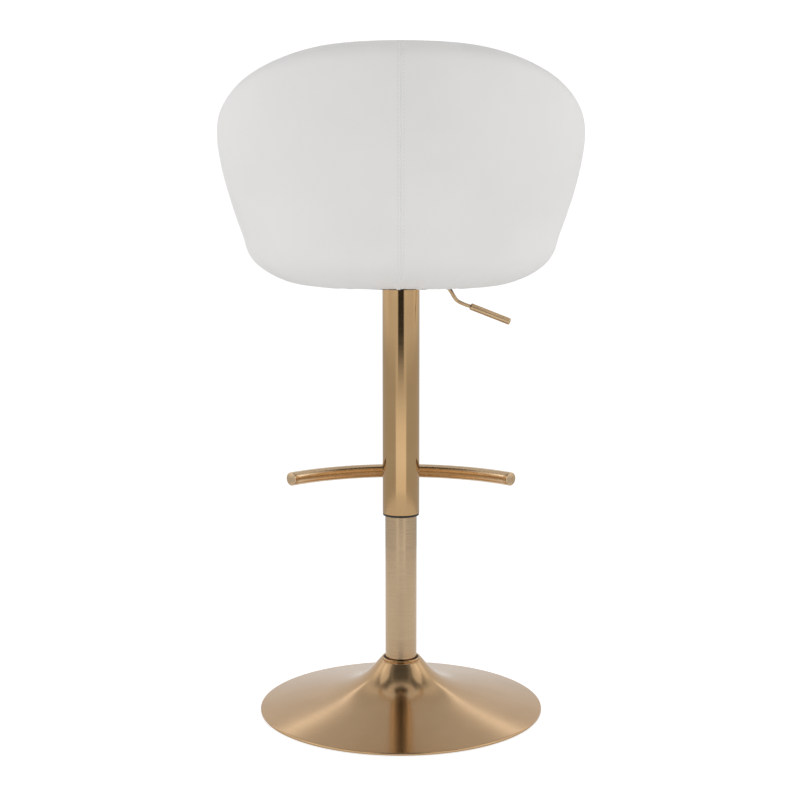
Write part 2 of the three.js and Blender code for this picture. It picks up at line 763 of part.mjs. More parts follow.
add("seat_board", seatBoard(), plywood);
CORNERS.forEach(([x, y], i) => {
  const place = (g) => g.translate(x * BOLT_OFFSET, y * BOLT_OFFSET, 0);
  add(`seat_bolt_${i + 1}`, place(seatBolt()), steel);
  add(`washer_${i + 1}`, place(seatWasher()), steel);
  add(`tee_nut_${i + 1}`, place(teeNut()), steel);
});
SCREW_SPOTS.forEach(([x, y], i) => {
  add(`shell_screw_${i + 1}`, shellScrew().translate(x, y, 0), steel);
});

// ---- bucket seat ----
function outerCover() {
  return band((angle) => [
    ...shellLine(angle, 0),
    ...ROLL_TURNS.map((turn) => rollPoint(angle, ROLL, turn)),
    ...ROLL_TURNS.map((turn) => rollPoint(angle, ROLL - COVER_THICK, turn)).reverse(),
    ...shellLine(angle, COVER_THICK).reverse(),
  ]);
}

// The core ends where the roll starts.
function tubCore() {
  const outside = COVER_THICK + GAP;
  const body = band((angle) => [
    ...shellLine(angle, outside),
    ...shellLine(angle, outside + CORE_THICK).reverse(),
  ]);
  const holes = SCREW_SPOTS.flatMap(([x, y]) => [
    disc(SCREW_SHANK + GAP, SEAT_LOW, BOARD_LOW).translate(x, y, 0),
    disc(SCREW_HEAD + 0.4, SEAT_LOW, SCREW_HEAD_HIGH + GAP).translate(x, y, 0),
  ]);
  return cut(body, ...holes);
}

const PAD_IN = 2 * ROLL; // inset of the padded inner face
const SEAM = 1; // gap over the core, and between the two covers along the crest

// The padding covers the core's inside and rolls over its top to meet the outer cover.
function innerPad() {
  const back = COVER_THICK + CORE_THICK + 2 * GAP;
  return band((angle) => {
    const outer = [
      ...CORNER_TURNS.slice(1).map((turn) => cornerPoint(angle, back, turn)),
      ...WALL_SHARES.map((share) => wallPoint(angle, back, share, share === 1 ? SEAM : 0)),
    ];
    const overCore = wallPoint(angle, COVER_THICK + 2 * GAP, 1, SEAM);
    const roll = ROLL_TURNS.map((turn) => rollPoint(angle, ROLL - COVER_THICK - 2 * GAP, turn));
    const crest = rollPoint(angle, ROLL, Math.PI / 2);
    const seam = [[roll[2][0] - SEAM, roll[2][1]], [crest[0] - SEAM, crest[1]]];
    const inner = [2, 1].map((step) => rollPoint(angle, ROLL, Math.PI - (step * Math.PI) / 6));
    const face = [...WALL_SHARES].reverse().map((share) => wallPoint(angle, PAD_IN, share));
    const [, low] = outer[0];
    const foot = wallRadius(angle, CORNER_TOP) - PAD_IN;
    return [...outer, overCore, ...roll, ...seam, ...inner, ...face, [foot, CORNER_TOP], [foot, low]];
  });
}

// The cushion fills the bucket above the board and stands proud of its front edge.
const CUSHION_LOW = BOARD_HIGH + 2.5;
const CUSHION_EDGE = 783;
const CUSHION_CROWN = 803;
const CUSHION_CLEAR = 1.5;

function seatCushion() {
  const inside = (angle, z, extra = 0) =>
    wallRadius(angle, Math.max(z, CORNER_TOP)) - PAD_IN - CUSHION_CLEAR - extra;
  const level = (z, extra) => (angle) => [inside(angle, z, extra), z];
  return stack([
    level(CUSHION_LOW, 8),
    level(CUSHION_LOW + 10, 2),
    level(CORNER_TOP, 2),
    level(CUSHION_EDGE - 8, 3),
    level(CUSHION_EDGE + 6, 9),
    level(CUSHION_EDGE + 14, 24),
    level(CUSHION_CROWN - 2, 55),
    level(CUSHION_CROWN, 110),
  ]);
}

const DUST_OUTER = 118;
const DUST_THICK = 1.3;
const DUST_HOLE = 71; // half the side of the square hole round the mechanism

function dustCover() {
  const high = SEAT_LOW - GAP;
  const body = disc(DUST_OUTER, high - DUST_THICK, high, ROUND);
  const middle = box(-DUST_HOLE, DUST_HOLE, -DUST_HOLE, DUST_HOLE, high - 5, high + 5);
  const leverSlot = box(-92, -60, -9, 9, high - 5, high + 5);
  return cut(body, middle, leverSlot);
}

add("tub_core", tubCore(), plywood);
add("outer_cover", outerCover(), leather);
add("inner_pad", innerPad(), leather);
add("seat_cushion", seatCushion(), leather);
add("dust_cover", dustCover(), lining);

export default stool;
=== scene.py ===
"""Swivel bar stool with a footrest: brushed gold metal and a white leather bucket seat."""

import math

import bmesh
import bpy
from mathutils import Matrix, Vector, noise
from mathutils.bvhtree import BVHTree


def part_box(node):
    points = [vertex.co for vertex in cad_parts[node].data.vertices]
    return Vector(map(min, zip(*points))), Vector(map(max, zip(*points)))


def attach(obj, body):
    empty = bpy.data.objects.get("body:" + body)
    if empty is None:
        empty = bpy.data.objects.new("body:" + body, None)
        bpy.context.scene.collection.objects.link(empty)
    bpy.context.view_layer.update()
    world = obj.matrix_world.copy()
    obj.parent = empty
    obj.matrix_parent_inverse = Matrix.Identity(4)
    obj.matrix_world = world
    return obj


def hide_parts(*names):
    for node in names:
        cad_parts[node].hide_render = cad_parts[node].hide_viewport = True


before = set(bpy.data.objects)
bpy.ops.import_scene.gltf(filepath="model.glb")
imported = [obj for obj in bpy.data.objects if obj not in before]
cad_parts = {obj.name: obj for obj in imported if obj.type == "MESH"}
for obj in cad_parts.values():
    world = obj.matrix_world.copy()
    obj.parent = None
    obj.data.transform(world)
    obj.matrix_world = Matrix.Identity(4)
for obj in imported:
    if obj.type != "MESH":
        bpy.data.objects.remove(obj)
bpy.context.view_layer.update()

MM = 0.001
TURN = 2 * math.pi
UP = Vector((0, 0, 1))


def low(node):
    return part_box(node)[0]


def high(node):
    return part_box(node)[1]


def clamp(value):
    return min(max(value, 0), 1)


def polar(turn):
    return Vector((math.cos(turn), math.sin(turn)))


def angle_of(place):
    """Angle of a place on plan, from the back, +Y, towards +X."""
    return math.atan2(place.x, place.y)


def reach_of(place):
    """Distance of a place from the column's axis."""
    return math.hypot(place.x, place.y)


# ---- sizes, from the frame ----
BASE_RADIUS = high("trumpet_cover").x
BASE_LOW = low("trumpet_cover").z
NECK_TOP = high("trumpet_cover").z
NECK_RADIUS = 30 * MM
LOWER_TUBE = high("lower_column").x
LOWER_TUBE_LOW = low("lower_column").z
LOWER_TUBE_TOP = high("lower_column").z
COVER_TUBE = high("cover_tube").x
COVER_TUBE_LOW = low("cover_tube").z
COVER_TUBE_TOP = high("cover_tube").z
TUBE_WALL = 1.5 * MM

SEAT_LOW = low("outer_cover").z
SEAT_TOP = high("outer_cover").z
SEAT_HALF_WIDTH = high("outer_cover").x
SEAT_BACK = high("outer_cover").y
SEAT_FRONT = 250 * MM
BOARD_TOP = high("seat_board").z


# ---- mesh helpers ----
def new_object(name, mesh):
    made = bpy.data.objects.new(name, mesh)
    bpy.context.scene.collection.objects.link(made)
    return made


def from_bmesh(name, bm, sharp=35):
    """A smooth-shaded object, with edges sharper than an angle in degrees left sharp."""
    bmesh.ops.remove_doubles(bm, verts=bm.verts, dist=1e-6)
    bmesh.ops.recalc_face_normals(bm, faces=bm.faces)
    mesh = bpy.data.meshes.new(name)
    bm.to_mesh(mesh)
    bm.free()
    mesh.shade_smooth()
    mesh.set_sharp_from_angle(angle=math.radians(sharp))
    return new_object(name, mesh)


def rounded(points, radius, steps=4):
    """A closed outline with its corners rounded by one radius, or by one for each point."""
    radii = radius if isinstance(radius, (list, tuple)) else [radius] * len(points)
    outline = []
    for i, (corner, reach) in enumerate(zip(points, radii)):
        here = Vector(corner)
        before, after = Vector(points[i - 1]), Vector(points[(i + 1) % len(points)])
        reach = min(reach, 0.45 * (before - here).length, 0.45 * (after - here).length)
        if reach <= 0:
            outline.append(here)
            continue
        start = here + (before - here).normalized() * reach
        end = here + (after - here).normalized() * reach
        for step in range(steps + 1):
            t = step / steps
            outline.append(start * (1 - t) ** 2 + here * 2 * t * (1 - t) + end * t**2)
    return outline


def grid_faces(bm, rows, closed_across=True, closed_along=True):
    """Quads between rows of vertices."""
    for i in range(len(rows) if closed_along else len(rows) - 1):
        here, there = rows[i], rows[(i + 1) % len(rows)]
        for j in range(len(here) if closed_across else len(here) - 1):
            k = (j + 1) % len(here)
            corners = []
            for vertex in (here[j], there[j], there[k], here[k]):
                if vertex not in corners:
                    corners.append(vertex)
            if len(corners) > 2:
                bm.faces.new(corners)


def on_plan(angle, point):
    """A (radius, height) point set out at an angle from the back, +Y, towards +X."""
    r, z = point
    return Vector((r * math.sin(angle), r * math.cos(angle), z))


def around(name, outline, angles=96, sharp=35):
    """A closed outline of (radius, height) points carried round the Z axis.

    The outline is one list, or a function of the angle; angles is a number of equal steps or a list.
    """
    if isinstance(angles, int):
        angles = [TURN * i / angles for i in range(angles)]
    bm = bmesh.new()
    rows = []
    for angle in angles:
        points = outline(angle) if callable(outline) else outline
        rows.append([bm.verts.new(on_plan(angle, point)) for point in points])
    grid_faces(bm, rows)
    return from_bmesh(name, bm, sharp)


def tube_outline(inner, outer, bottom, top, edge):
    return rounded([(inner, bottom), (outer, bottom), (outer, top), (inner, top)], edge)


def sweep(name, path, side, radius, sides=32, sharp=50):
    """A round bar along a flat path; side is square to the path's plane, radius a function."""
    bm = bmesh.new()
    rows = []
    for i, point in enumerate(path):
        ahead, behind = path[min(i + 1, len(path) - 1)], path[max(i - 1, 0)]
        across = side.cross((ahead - behind).normalized())
        row = []
        for j in range(sides):
            turn = TURN * j / sides
            out = across * math.cos(turn) + side * math.sin(turn)
            row.append(bm.verts.new(point + out * radius(i, turn)))
        rows.append(row)
    grid_faces(bm, rows, closed_along=False)
    bm.faces.new(rows[0])
    bm.faces.new(rows[-1])
    return from_bmesh(name, bm, sharp)


def aim(obj, start, direction):
    """Turns an object built up the Z axis so that it starts at a point and runs in a direction."""
    obj.data.transform(direction.to_track_quat("Z", "Y").to_matrix().to_4x4())
    obj.data.transform(Matrix.Translation(start))


def dress(obj, look, body, slot, *replaced):
    """Gives a piece its material and its body, and hides the CAD nodes that it stands for; slot is not
    used.
    """
    obj.data.materials.clear()
    obj.data.materials.append(look)
    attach(obj, body)
    if replaced:
        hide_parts(*replaced)
    return obj


# ---- materials ----
def node(tree, kind, inputs=None, **settings):
    """A shader node; an input is a value or another node's output."""
    made = tree.nodes.new("ShaderNode" + kind)
    for key, value in settings.items():
        setattr(made, key, value)
    for socket, value in (inputs or {}).items():
        if isinstance(value, bpy.types.NodeSocket):
            tree.links.new(value, made.inputs[socket])
        else:
            made.inputs[socket].default_value = value
    return made


def principled(name, inputs):
    made = bpy.data.materials.new(name)
    made.use_nodes = True
    shader = made.node_tree.nodes["Principled BSDF"]
    for socket, value in inputs.items():
        shader.inputs[socket].default_value = value
    return made, made.node_tree, shader


def maths(tree, operation, *values):
    """A shader calculation; a value is a number or another node's output."""
    inputs = dict(enumerate(values))
    return node(tree, "Math", inputs, operation=operation).outputs[0]


def ramp(tree, factor, stops):
    """A colour ramp with (position, colour) stops."""
    made = node(tree, "ValToRGB", {"Fac": factor})
    line = made.color_ramp
    while len(line.elements) < len(stops):
        line.elements.new(0.5)
    for element, (place, colour) in zip(line.elements, stops):
        element.position = place
        element.color = (*colour, 1)
    return made.outputs["Color"]


def span(tree, value, low_to, high_to, low_from=0.0, high_from=1.0):
    """A value moved from one range to another."""
    inputs = {"Value": value, "From Min": low_from, "From Max": high_from}
    inputs |= {"To Min": low_to, "To Max": high_to}
    return node(tree, "MapRange", inputs).outputs["Result"]


def place_on(tree):
    return node(tree, "TexCoord").outputs["Object"]


def noise_of(tree, vector, scale, detail=3, roughness=0.5):
    inputs = {"Vector": vector, "Scale": scale, "Detail": detail, "Roughness": roughness}
    return node(tree, "TexNoise", inputs).outputs["Fac"]


def coat(tree, shader, tone, rough, height=None, strength=1.0, depth=1.0):
    """Gives a shader its colour and roughness and, from a height, its bumps, depth in millimetres."""
    tree.links.new(tone, shader.inputs["Base Color"])
    tree.links.new(rough, shader.inputs["Roughness"])
    if height:
        bump = node(tree, "Bump", {"Height": height, "Strength": strength, "Distance": depth * MM})
        tree.links.new(bump.outputs["Normal"], shader.inputs["Normal"])


def around_axis(tree):
    """Places as (distance from the Z axis, height), the same all round the axis."""
    place = place_on(tree)
    parts = node(tree, "SeparateXYZ", {"Vector": place}).outputs
    flat = node(tree, "CombineXYZ", {"X": parts["X"], "Y": parts["Y"]}).outputs["Vector"]
    distance = node(tree, "VectorMath", {0: flat}, operation="LENGTH").outputs["Value"]
    return node(tree, "CombineXYZ", {"X": distance, "Z": parts["Z"]}).outputs["Vector"]


def brushed_gold(name, colour, pale, rough, stretch, scratch):
    """Gold plate brushed round the Z axis: fine rings, and reflections drawn out across them."""
    look, tree, shader = principled(name, {"Metallic": 1.0, "Anisotropic": stretch})
    shader.inputs["Anisotropic Rotation"].default_value = 0.25
    shader.inputs["Coat Weight"].default_value = 0.08
    shader.inputs["Coat Roughness"].default_value = 0.15
    tangent = node(tree, "Tangent", direction_type="RADIAL", axis="Z").outputs["Tangent"]
    tree.links.new(tangent, shader.inputs["Tangent"])
    rings = around_axis(tree)
    fine = noise_of(tree, rings, 2600, 4, 0.7)
    wide = noise_of(tree, rings, 420, 3, 0.6)
    cloud = noise_of(tree, place_on(tree), 14, 3, 0.55)
    both = maths(tree, "MULTIPLY", fine, wide)
    tone = ramp(tree, cloud, [(0.3, colour), (0.72, pale)])
    gloss = span(tree, both, rough * 0.75, rough * 1.35, 0.1, 0.45)
    coat(tree, shader, tone, gloss, fine, scratch, 0.02)
    return look


def polished_gold(name, colour, pale, rough):
    """Polished gold plate with faint wear in its gloss."""
    look, tree, shader = principled(name, {"Metallic": 1.0, "Coat Weight": 0.3})
    shader.inputs["Coat Roughness"].default_value = 0.05
    place = place_on(tree)
    cloud = noise_of(tree, place, 30, 4, 0.6)
    smear = noise_of(tree, place, 90, 3, 0.5)
    tone = ramp(tree, cloud, [(0.3, colour), (0.7, pale)])
    coat(tree, shader, tone, span(tree, smear, rough * 0.85, rough * 1.2, 0.3, 0.7))
    return look


def plain_metal(name, colour, pale, rough, grain=220, depth=0.02):
    """Steel or iron with a mottled surface."""
    look, tree, shader = principled(name, {"Metallic": 1.0})
    place = place_on(tree)
    cloud = noise_of(tree, place, 60, 4, 0.6)
    pits = noise_of(tree, place, grain, 6, 0.7)
    tone = ramp(tree, cloud, [(0.35, colour), (0.7, pale)])
    gloss = span(tree, pits, rough * 0.7, rough * 1.4, 0.3, 0.7)
    coat(tree, shader, tone, gloss, pits, 0.6, depth)
    return look


def plain_plastic(name, colour, pale, rough, grain=900, depth=0.03):
    """Moulded plastic or rubber with a fine spark-eroded grain."""
    look, tree, shader = principled(name, {"IOR": 1.48})
    place = place_on(tree)
    cloud = noise_of(tree, place, 40, 3, 0.5)
    fine = noise_of(tree, place, grain, 3, 0.6)
    tone = ramp(tree, cloud, [(0.3, colour), (0.7, pale)])
    gloss = span(tree, fine, rough * 0.85, rough * 1.2, 0.3, 0.7)
    coat(tree, shader, tone, gloss, fine, 0.5, depth)
    return look


def white_leather(name):
    """Coated white leather: a pebble grain, faint clouding and a soft satin gloss."""
    look, tree, shader = principled(name, {"IOR": 1.46, "Specular IOR Level": 0.45})
    shader.inputs["Sheen Weight"].default_value = 0.04
    shader.inputs["Sheen Roughness"].default_value = 0.4
    place = place_on(tree)
    drift = node(tree, "TexNoise", {"Vector": place, "Scale": 260.0, "Detail": 2.0})
    offset = node(tree, "VectorMath", {0: drift.outputs["Color"], 1: (0.0012,) * 3},
                  operation="MULTIPLY").outputs["Vector"]
    warped = node(tree, "VectorMath", {0: place, 1: offset}, operation="ADD").outputs["Vector"]
    cells = node(tree, "TexVoronoi", {"Vector": warped, "Scale": 820.0},
                 feature="SMOOTH_F1").outputs["Distance"]
    pebble = span(tree, cells, 1.0, 0.0, 0.15, 0.75)
    fine = noise_of(tree, place, 2600, 3, 0.6)
    cloud = noise_of(tree, place, 9, 4, 0.5)
    tone = ramp(tree, cloud, [(0.3, (0.885, 0.878, 0.868)), (0.7, (0.915, 0.908, 0.897))])
    gloss = span(tree, maths(tree, "ADD", cells, fine), 0.36, 0.56, 0.5, 1.2)
    grain = maths(tree, "MULTIPLY_ADD", fine, 0.25, pebble)
    coat(tree, shader, tone, gloss, grain, 0.35, 0.08)
    return look


GOLD = brushed_gold(
    "gold_column", (0.55, 0.355, 0.175), (0.59, 0.39, 0.20), rough=0.10, stretch=0.35, scratch=0.12)
GOLD_SATIN = brushed_gold(
    "gold_satin", (0.56, 0.41, 0.26), (0.60, 0.44, 0.28), rough=0.24, stretch=0.3, scratch=0.3)
GOLD_BASE = brushed_gold(
    "gold_base", (0.55, 0.36, 0.19), (0.60, 0.395, 0.215), rough=0.17, stretch=0.72, scratch=0.3)
GOLD_POLISHED = polished_gold("gold_polished", (0.66, 0.47, 0.28), (0.74, 0.54, 0.34), 0.19)
GOLD_ROD = polished_gold("gold_rod", (0.60, 0.42, 0.24), (0.68, 0.48, 0.28), 0.30)
STEEL = plain_metal("steel", (0.50, 0.50, 0.51), (0.60, 0.60, 0.61), 0.32)
BLACK_STEEL = plain_metal("black_steel", (0.025, 0.025, 0.027), (0.045, 0.045, 0.048), 0.42)
CAST_IRON = plain_metal("cast_iron", (0.045, 0.045, 0.047), (0.09, 0.088, 0.085), 0.6, 500, 0.25)
NYLON = plain_plastic("black_nylon", (0.010, 0.010, 0.011), (0.018, 0.018, 0.019), 0.42)
RUBBER = plain_plastic("rubber", (0.014, 0.014, 0.014), (0.024, 0.024, 0.024), 0.75, 600, 0.06)
PLYWOOD = plain_plastic("plywood", (0.50, 0.34, 0.19), (0.62, 0.45, 0.27), 0.6, 300, 0.08)
LINING = plain_plastic("lining", (0.012, 0.012, 0.013), (0.022, 0.022, 0.024), 0.85, 1500, 0.1)
LEATHER = white_leather("white_leather")
THREAD = plain_plastic("thread", (0.76, 0.75, 0.735), (0.83, 0.82, 0.805), 0.6, 3000, 0.05)


# ---- base ----
BELL_WIDTH = 26.5 * MM
BELL_POWER = 1.285
BASE_SLOPE = 0.226
RIM_TOP = 5 * MM
COVER_SHEET = 1.4 * MM
# the lip round the neck, as millimetres out from the neck's radius and down from its top
NECK_LIP = [(-2.3, 4), (-2.3, 0.9), (-1.6, 0.1), (-0.6, 0), (0.4, 0.4), (1, 1.3), (0.9, 2.3), (0.3, 3)]
FLOOR_PAD_INNER = 205 * MM
FLOOR_PAD_OUTER = 221 * MM
FLOOR_PAD_THICK = 3 * MM


def base_height(r):
    """Height of the trumpet base: a shallow cone, with a bell that rises towards the neck."""
    rise = NECK_TOP - 0.8 * MM - RIM_TOP - BASE_SLOPE * (BASE_RADIUS - NECK_RADIUS)
    bell = math.exp(-((max(r - NECK_RADIUS, 0) / BELL_WIDTH) ** BELL_POWER))
    return RIM_TOP + BASE_SLOPE * (BASE_RADIUS - r) + rise * bell


def base_line(inset, steps):
    line = []
    for i in range(steps + 1):
        r = NECK_RADIUS + (BASE_RADIUS - 3 * MM - NECK_RADIUS) * (i / steps) ** 1.6
        slope = (base_height(r + 1e-5) - base_height(r)) / 1e-5
        length = math.hypot(1, slope)
        line.append((r + inset * slope / length, base_height(r) - inset / length))
    return line


def trumpet():
    """The spun cover: the cone and bell, a rolled rim, and a lip round the neck."""
    rim_out = BASE_RADIUS
    shoulder = base_height(BASE_RADIUS - 3 * MM)
    rim = rounded(
        [(BASE_RADIUS - 3 * MM, shoulder), (rim_out, shoulder - 0.7 * MM), (rim_out, BASE_LOW),
         (rim_out - COVER_SHEET, BASE_LOW), (rim_out - COVER_SHEET, shoulder - 2 * MM)],
        [0, 1.3 * MM, 0.5 * MM, 0.5 * MM, 0], 6,
    )
    inside = base_line(COVER_SHEET, 60)[::-1]
    lip = [(NECK_RADIUS + out * MM, NECK_TOP - down * MM) for out, down in NECK_LIP]
    outside = [p for p in base_line(0, 110) if p[1] < NECK_TOP - 3.6 * MM]
    return around("trumpet", lip + outside + rim + inside[:-3], 192)


dress(trumpet(), GOLD_BASE, "base", "gold_satin", "trumpet_cover")

ring = high("neck_bush")
bush = tube_outline(LOWER_TUBE + 0.3 * MM, ring.x, low("neck_bush").z, ring.z, 0.8 * MM)
dress(around("neck_seal", bush), NYLON, "base", "black_nylon", "neck_bush")

pad = tube_outline(FLOOR_PAD_INNER, FLOOR_PAD_OUTER, 0, FLOOR_PAD_THICK, 0.8 * MM)
dress(around("floor_pad", pad, 192), RUBBER, "base", "rubber", "floor_ring")

# ---- column ----
tube = tube_outline(LOWER_TUBE - TUBE_WALL, LOWER_TUBE, LOWER_TUBE_LOW, LOWER_TUBE_TOP, 0.5 * MM)
dress(around("lower_tube", tube, 128), GOLD_SATIN, "base", "gold_satin", "lower_column")
tube = tube_outline(COVER_TUBE - TUBE_WALL, COVER_TUBE, COVER_TUBE_LOW, COVER_TUBE_TOP, 0.6 * MM)
dress(around("upper_tube", tube, 128), GOLD, "lift", "gold_polished", "cover_tube")


def collar():
    """The black ring under the upper tube, with the sleeve that guides it inside."""
    inner, sleeve = LOWER_TUBE + 0.3 * MM, COVER_TUBE - TUBE_WALL - 0.3 * MM
    lip, bottom, top = high("cover_bush").x, low("cover_bush").z, high("cover_bush").z
    outline = [(inner, bottom), (lip, bottom), (lip, COVER_TUBE_LOW - 0.3 * MM),
               (sleeve, COVER_TUBE_LOW - 0.3 * MM), (sleeve, top), (inner, top)]
    return around("collar", rounded(outline, 0.7 * MM), 128)


dress(collar(), NYLON, "lift", "black_nylon", "cover_bush")

# ---- footrest ----
BAR_RADIUS = (high("footrest_bar").z - low("footrest_bar").z) / 2
BAR_Z = (high("footrest_bar").z + low("footrest_bar").z) / 2
ARC_RADIUS = 249 * MM
ARC_CENTRE = Vector((0, low("footrest_bar").y + BAR_RADIUS + ARC_RADIUS, BAR_Z))
HALF_SPAN = 175 * MM
ARC_HALF_ANGLE = math.asin(HALF_SPAN / ARC_RADIUS)


def arc_point(angle):
    return ARC_CENTRE + ARC_RADIUS * Vector((math.sin(angle), -math.cos(angle), 0))


def footrest():
    """The bent tube, with its cut ends slightly eased."""
    steps, edge = 96, 0.4 * MM
    path = [arc_point(ARC_HALF_ANGLE * (2 * i / steps - 1)) for i in range(steps + 1)]

    def radius(i, _):
        return BAR_RADIUS - (edge if i in (0, steps) else 0)

    return sweep("footrest_tube", path, UP, radius, 48)


def footrest_end(side):
    """A nearly flat end plug with a rounded lip and a fine joint against the tube."""
    name = "footrest_end_left" if side > 0 else "footrest_end_right"
    start, lip, reach = 0.35 * MM, 1.5 * MM, BAR_RADIUS - 0.1 * MM
    outline = [(0, -6 * MM), (BAR_RADIUS - 3 * MM, -6 * MM), (BAR_RADIUS - 3 * MM, start)]
    outline += [(reach - 0.4 * MM, start), (reach, start + 0.3 * MM)]
    for i in range(9):
        turn = math.pi / 2 * i / 8
        outline.append((reach - lip + lip * math.cos(turn), start + (0.9 + 1.5 * math.sin(turn)) * MM))
    for i in range(1, 10):
        r = (reach - lip) * (1 - i / 9)
        outline.append((r, start + (2.4 + 0.9 * math.sin(math.pi / 2 * i / 9)) * MM))
    made = around(name, outline, 64, 60)
    angle = ARC_HALF_ANGLE * side
    aim(made, arc_point(angle), Vector((math.cos(angle) * side, math.sin(angle) * side, 0)))
    return made


def footrest_arm():
    """The short bar between column and footrest, with a weld bead at each end."""
    reach = -arc_point(0).y
    radius = (high("footrest_stub").z - low("footrest_stub").z) / 2
    near, far = COVER_TUBE - 2.2 * MM, reach - BAR_RADIUS + 4 * MM
    bead = 2.2 * MM
    outline = [(0, near), (radius + bead, near)]
    turns = [math.pi / 2 * i / 8 for i in range(9)]
    for turn in turns:
        out, along = bead * (1 - math.sin(turn)), bead * (1 - math.cos(turn))
        outline.append((radius + out, near + 2.6 * MM + along))
    for turn in turns:
        out, along = bead * (1 - math.cos(turn)), bead * (1 - math.sin(turn))
        outline.append((radius + out, far - 3.2 * MM - along))
    outline += [(radius + bead, far), (0, far)]
    made = around("footrest_arm", outline, 64, 60)
    aim(made, Vector((0, 0, BAR_Z)), Vector((0, -1, 0)))
    return made


def footrest_piece(made, stands_for):
    dress(made, GOLD_POLISHED, "lift", "gold_polished", stands_for)


footrest_piece(footrest(), "footrest_bar")
footrest_piece(footrest_end(1), "footrest_cap_left")
footrest_piece(footrest_end(-1), "footrest_cap_right")
footrest_piece(footrest_arm(), "footrest_stub")

# ---- lever ----
# points (x, z) of the middle of the lever's rod, in millimetres
LEVER_LINE = [
    (4, 688), (-30, 688), (-50, 687.6), (-64, 683), (-75, 673.5), (-87, 656), (-98, 650),
    (-112, 645.1), (-150, 630.2), (-164, 624.8),
]
ROD = 3 * MM
GRIP = 5.35 * MM
GRIP_START = Vector((-108, 0, 646.7)) * MM
GRIP_END = Vector((-170, 0, 622.4)) * MM


def curve_through(points, steps):
    """Points of a smooth centripetal curve through the given ones."""
    line = []
    ends = [2 * points[0] - points[1]] + points + [2 * points[-1] - points[-2]]
    for i in range(1, len(ends) - 2):
        p0, p1, p2, p3 = ends[i - 1:i + 3]
        t1 = (p1 - p0).length ** 0.5
        t2 = t1 + (p2 - p1).length ** 0.5
        t3 = t2 + (p3 - p2).length ** 0.5
        for step in range(steps):
            t = t1 + (t2 - t1) * step / steps
            a1 = p0 * (t1 - t) / t1 + p1 * t / t1
            a2 = p1 * (t2 - t) / (t2 - t1) + p2 * (t - t1) / (t2 - t1)
            a3 = p2 * (t3 - t) / (t3 - t2) + p3 * (t - t2) / (t3 - t2)
            b1 = a1 * (t2 - t) / t2 + a2 * t / t2
            b2 = a2 * (t3 - t) / (t3 - t1) + a3 * (t - t1) / (t3 - t1)
            line.append(b1 * (t2 - t) / (t2 - t1) + b2 * (t - t1) / (t2 - t1))
    line.append(points[-1])
    return line


def even_steps(line, step):
    """The same line with points at an even spacing."""
    spaced, left = [line[0]], step
    for here, there in zip(line, line[1:]):
        length = (there - here).length
        done = 0
        while length - done >= left:
            done += left
            spaced.append(here.lerp(there, done / length))
            left = step
        left -= length - done
    return spaced


def lever_rod():
    """The bent rod, with a thread on the stretch before the grip."""
    step, pitch, depth = 0.25 * MM, 1.5 * MM, 0.35 * MM
    line = curve_through([Vector((x, 0, z)) * MM for x, z in LEVER_LINE], 60)
    path = even_steps(line, step)
    along = (GRIP_END - GRIP_START).normalized()

    def radius(i, turn):
        behind = (GRIP_START - path[i]).dot(along)
        wave = 0.5 + 0.5 * math.cos(TURN * i * step / pitch - turn)
        fade = clamp((24 * MM - behind) / (3 * MM))
        return ROD - depth * fade * wave

    return sweep("lever", path, Vector((0, 1, 0)), radius, 24, 70)


def lever_handle():
    length = (GRIP_END - GRIP_START).length
    outline = rounded(
        [(0, 0.4 * MM), (ROD + 0.4 * MM, 0.4 * MM), (ROD + 0.4 * MM, 0), (GRIP - 0.9 * MM, 0),
         (GRIP, 0.9 * MM), (GRIP, length - 1.3 * MM), (GRIP - 1.3 * MM, length), (0, length)],
        [0, 0, 0, 0.4 * MM, 0.4 * MM, 0.6 * MM, 0.6 * MM, 0],
    )
    made = around("lever_handle", outline, 64)
    aim(made, GRIP_START, GRIP_END - GRIP_START)
    return made


dress(lever_rod(), GOLD_ROD, "lever", "gold_polished", "lever_rod")
dress(lever_handle(), GOLD_ROD, "lever", "gold_polished", "lever_grip")

# ---- seat shape ----
WALL_FULL = 906 * MM
WALL_TAPER = 0.25
WALL_TUCK = 0.03
CORNER_OUT = 124 * MM
CORNER_UP = 71 * MM
CORNER_TOP = SEAT_LOW - 1.2 * MM + CORNER_UP
ROLL = 24 * MM
OPENING = 100 * MM
LEATHER_THICK = 3.5 * MM
# angle from the back, in degrees, and height of the rim, in millimetres
RIM_LINE = [
    (0, 1038), (10, 1037.5), (20, 1036), (30, 1032.6), (40, 1025.8), (50, 1015.2), (58.5, 1003.5),
    (66, 990), (75, 970.3), (82.7, 953.5), (90, 935), (105, 896), (120, 858), (140, 812), (160, 785),
    (180, 775),
]


def plan(angle):
    """Distance of the wall from the axis where it is widest: half an ellipse in front, half behind."""
    depth = SEAT_BACK if math.cos(angle) > 0 else SEAT_FRONT
    return 1 / math.hypot(math.sin(angle) / SEAT_HALF_WIDTH, math.cos(angle) / depth)


def rim_height(angle):
    """Height of the rim, a smooth line through the points of RIM_LINE."""
    degrees = abs((math.degrees(angle) + 180) % 360 - 180)
    i = 1
    while RIM_LINE[i][0] < degrees:
        i += 1

    def slope(k):
        if k in (0, len(RIM_LINE) - 1):
            return 0
        (x0, y0), (x1, y1) = RIM_LINE[k - 1], RIM_LINE[k + 1]
        return (y1 - y0) / (x1 - x0)

    (x0, y0), (x1, y1) = RIM_LINE[i - 1], RIM_LINE[i]
    reach = x1 - x0
    t = (degrees - x0) / reach
    rise = (2 * t**3 - 3 * t**2 + 1) * y0 + (3 * t**2 - 2 * t**3) * y1
    bend = (t**3 - 2 * t**2 + t) * slope(i - 1) + (t**3 - t**2) * slope(i)
    return (rise + bend * reach) * MM


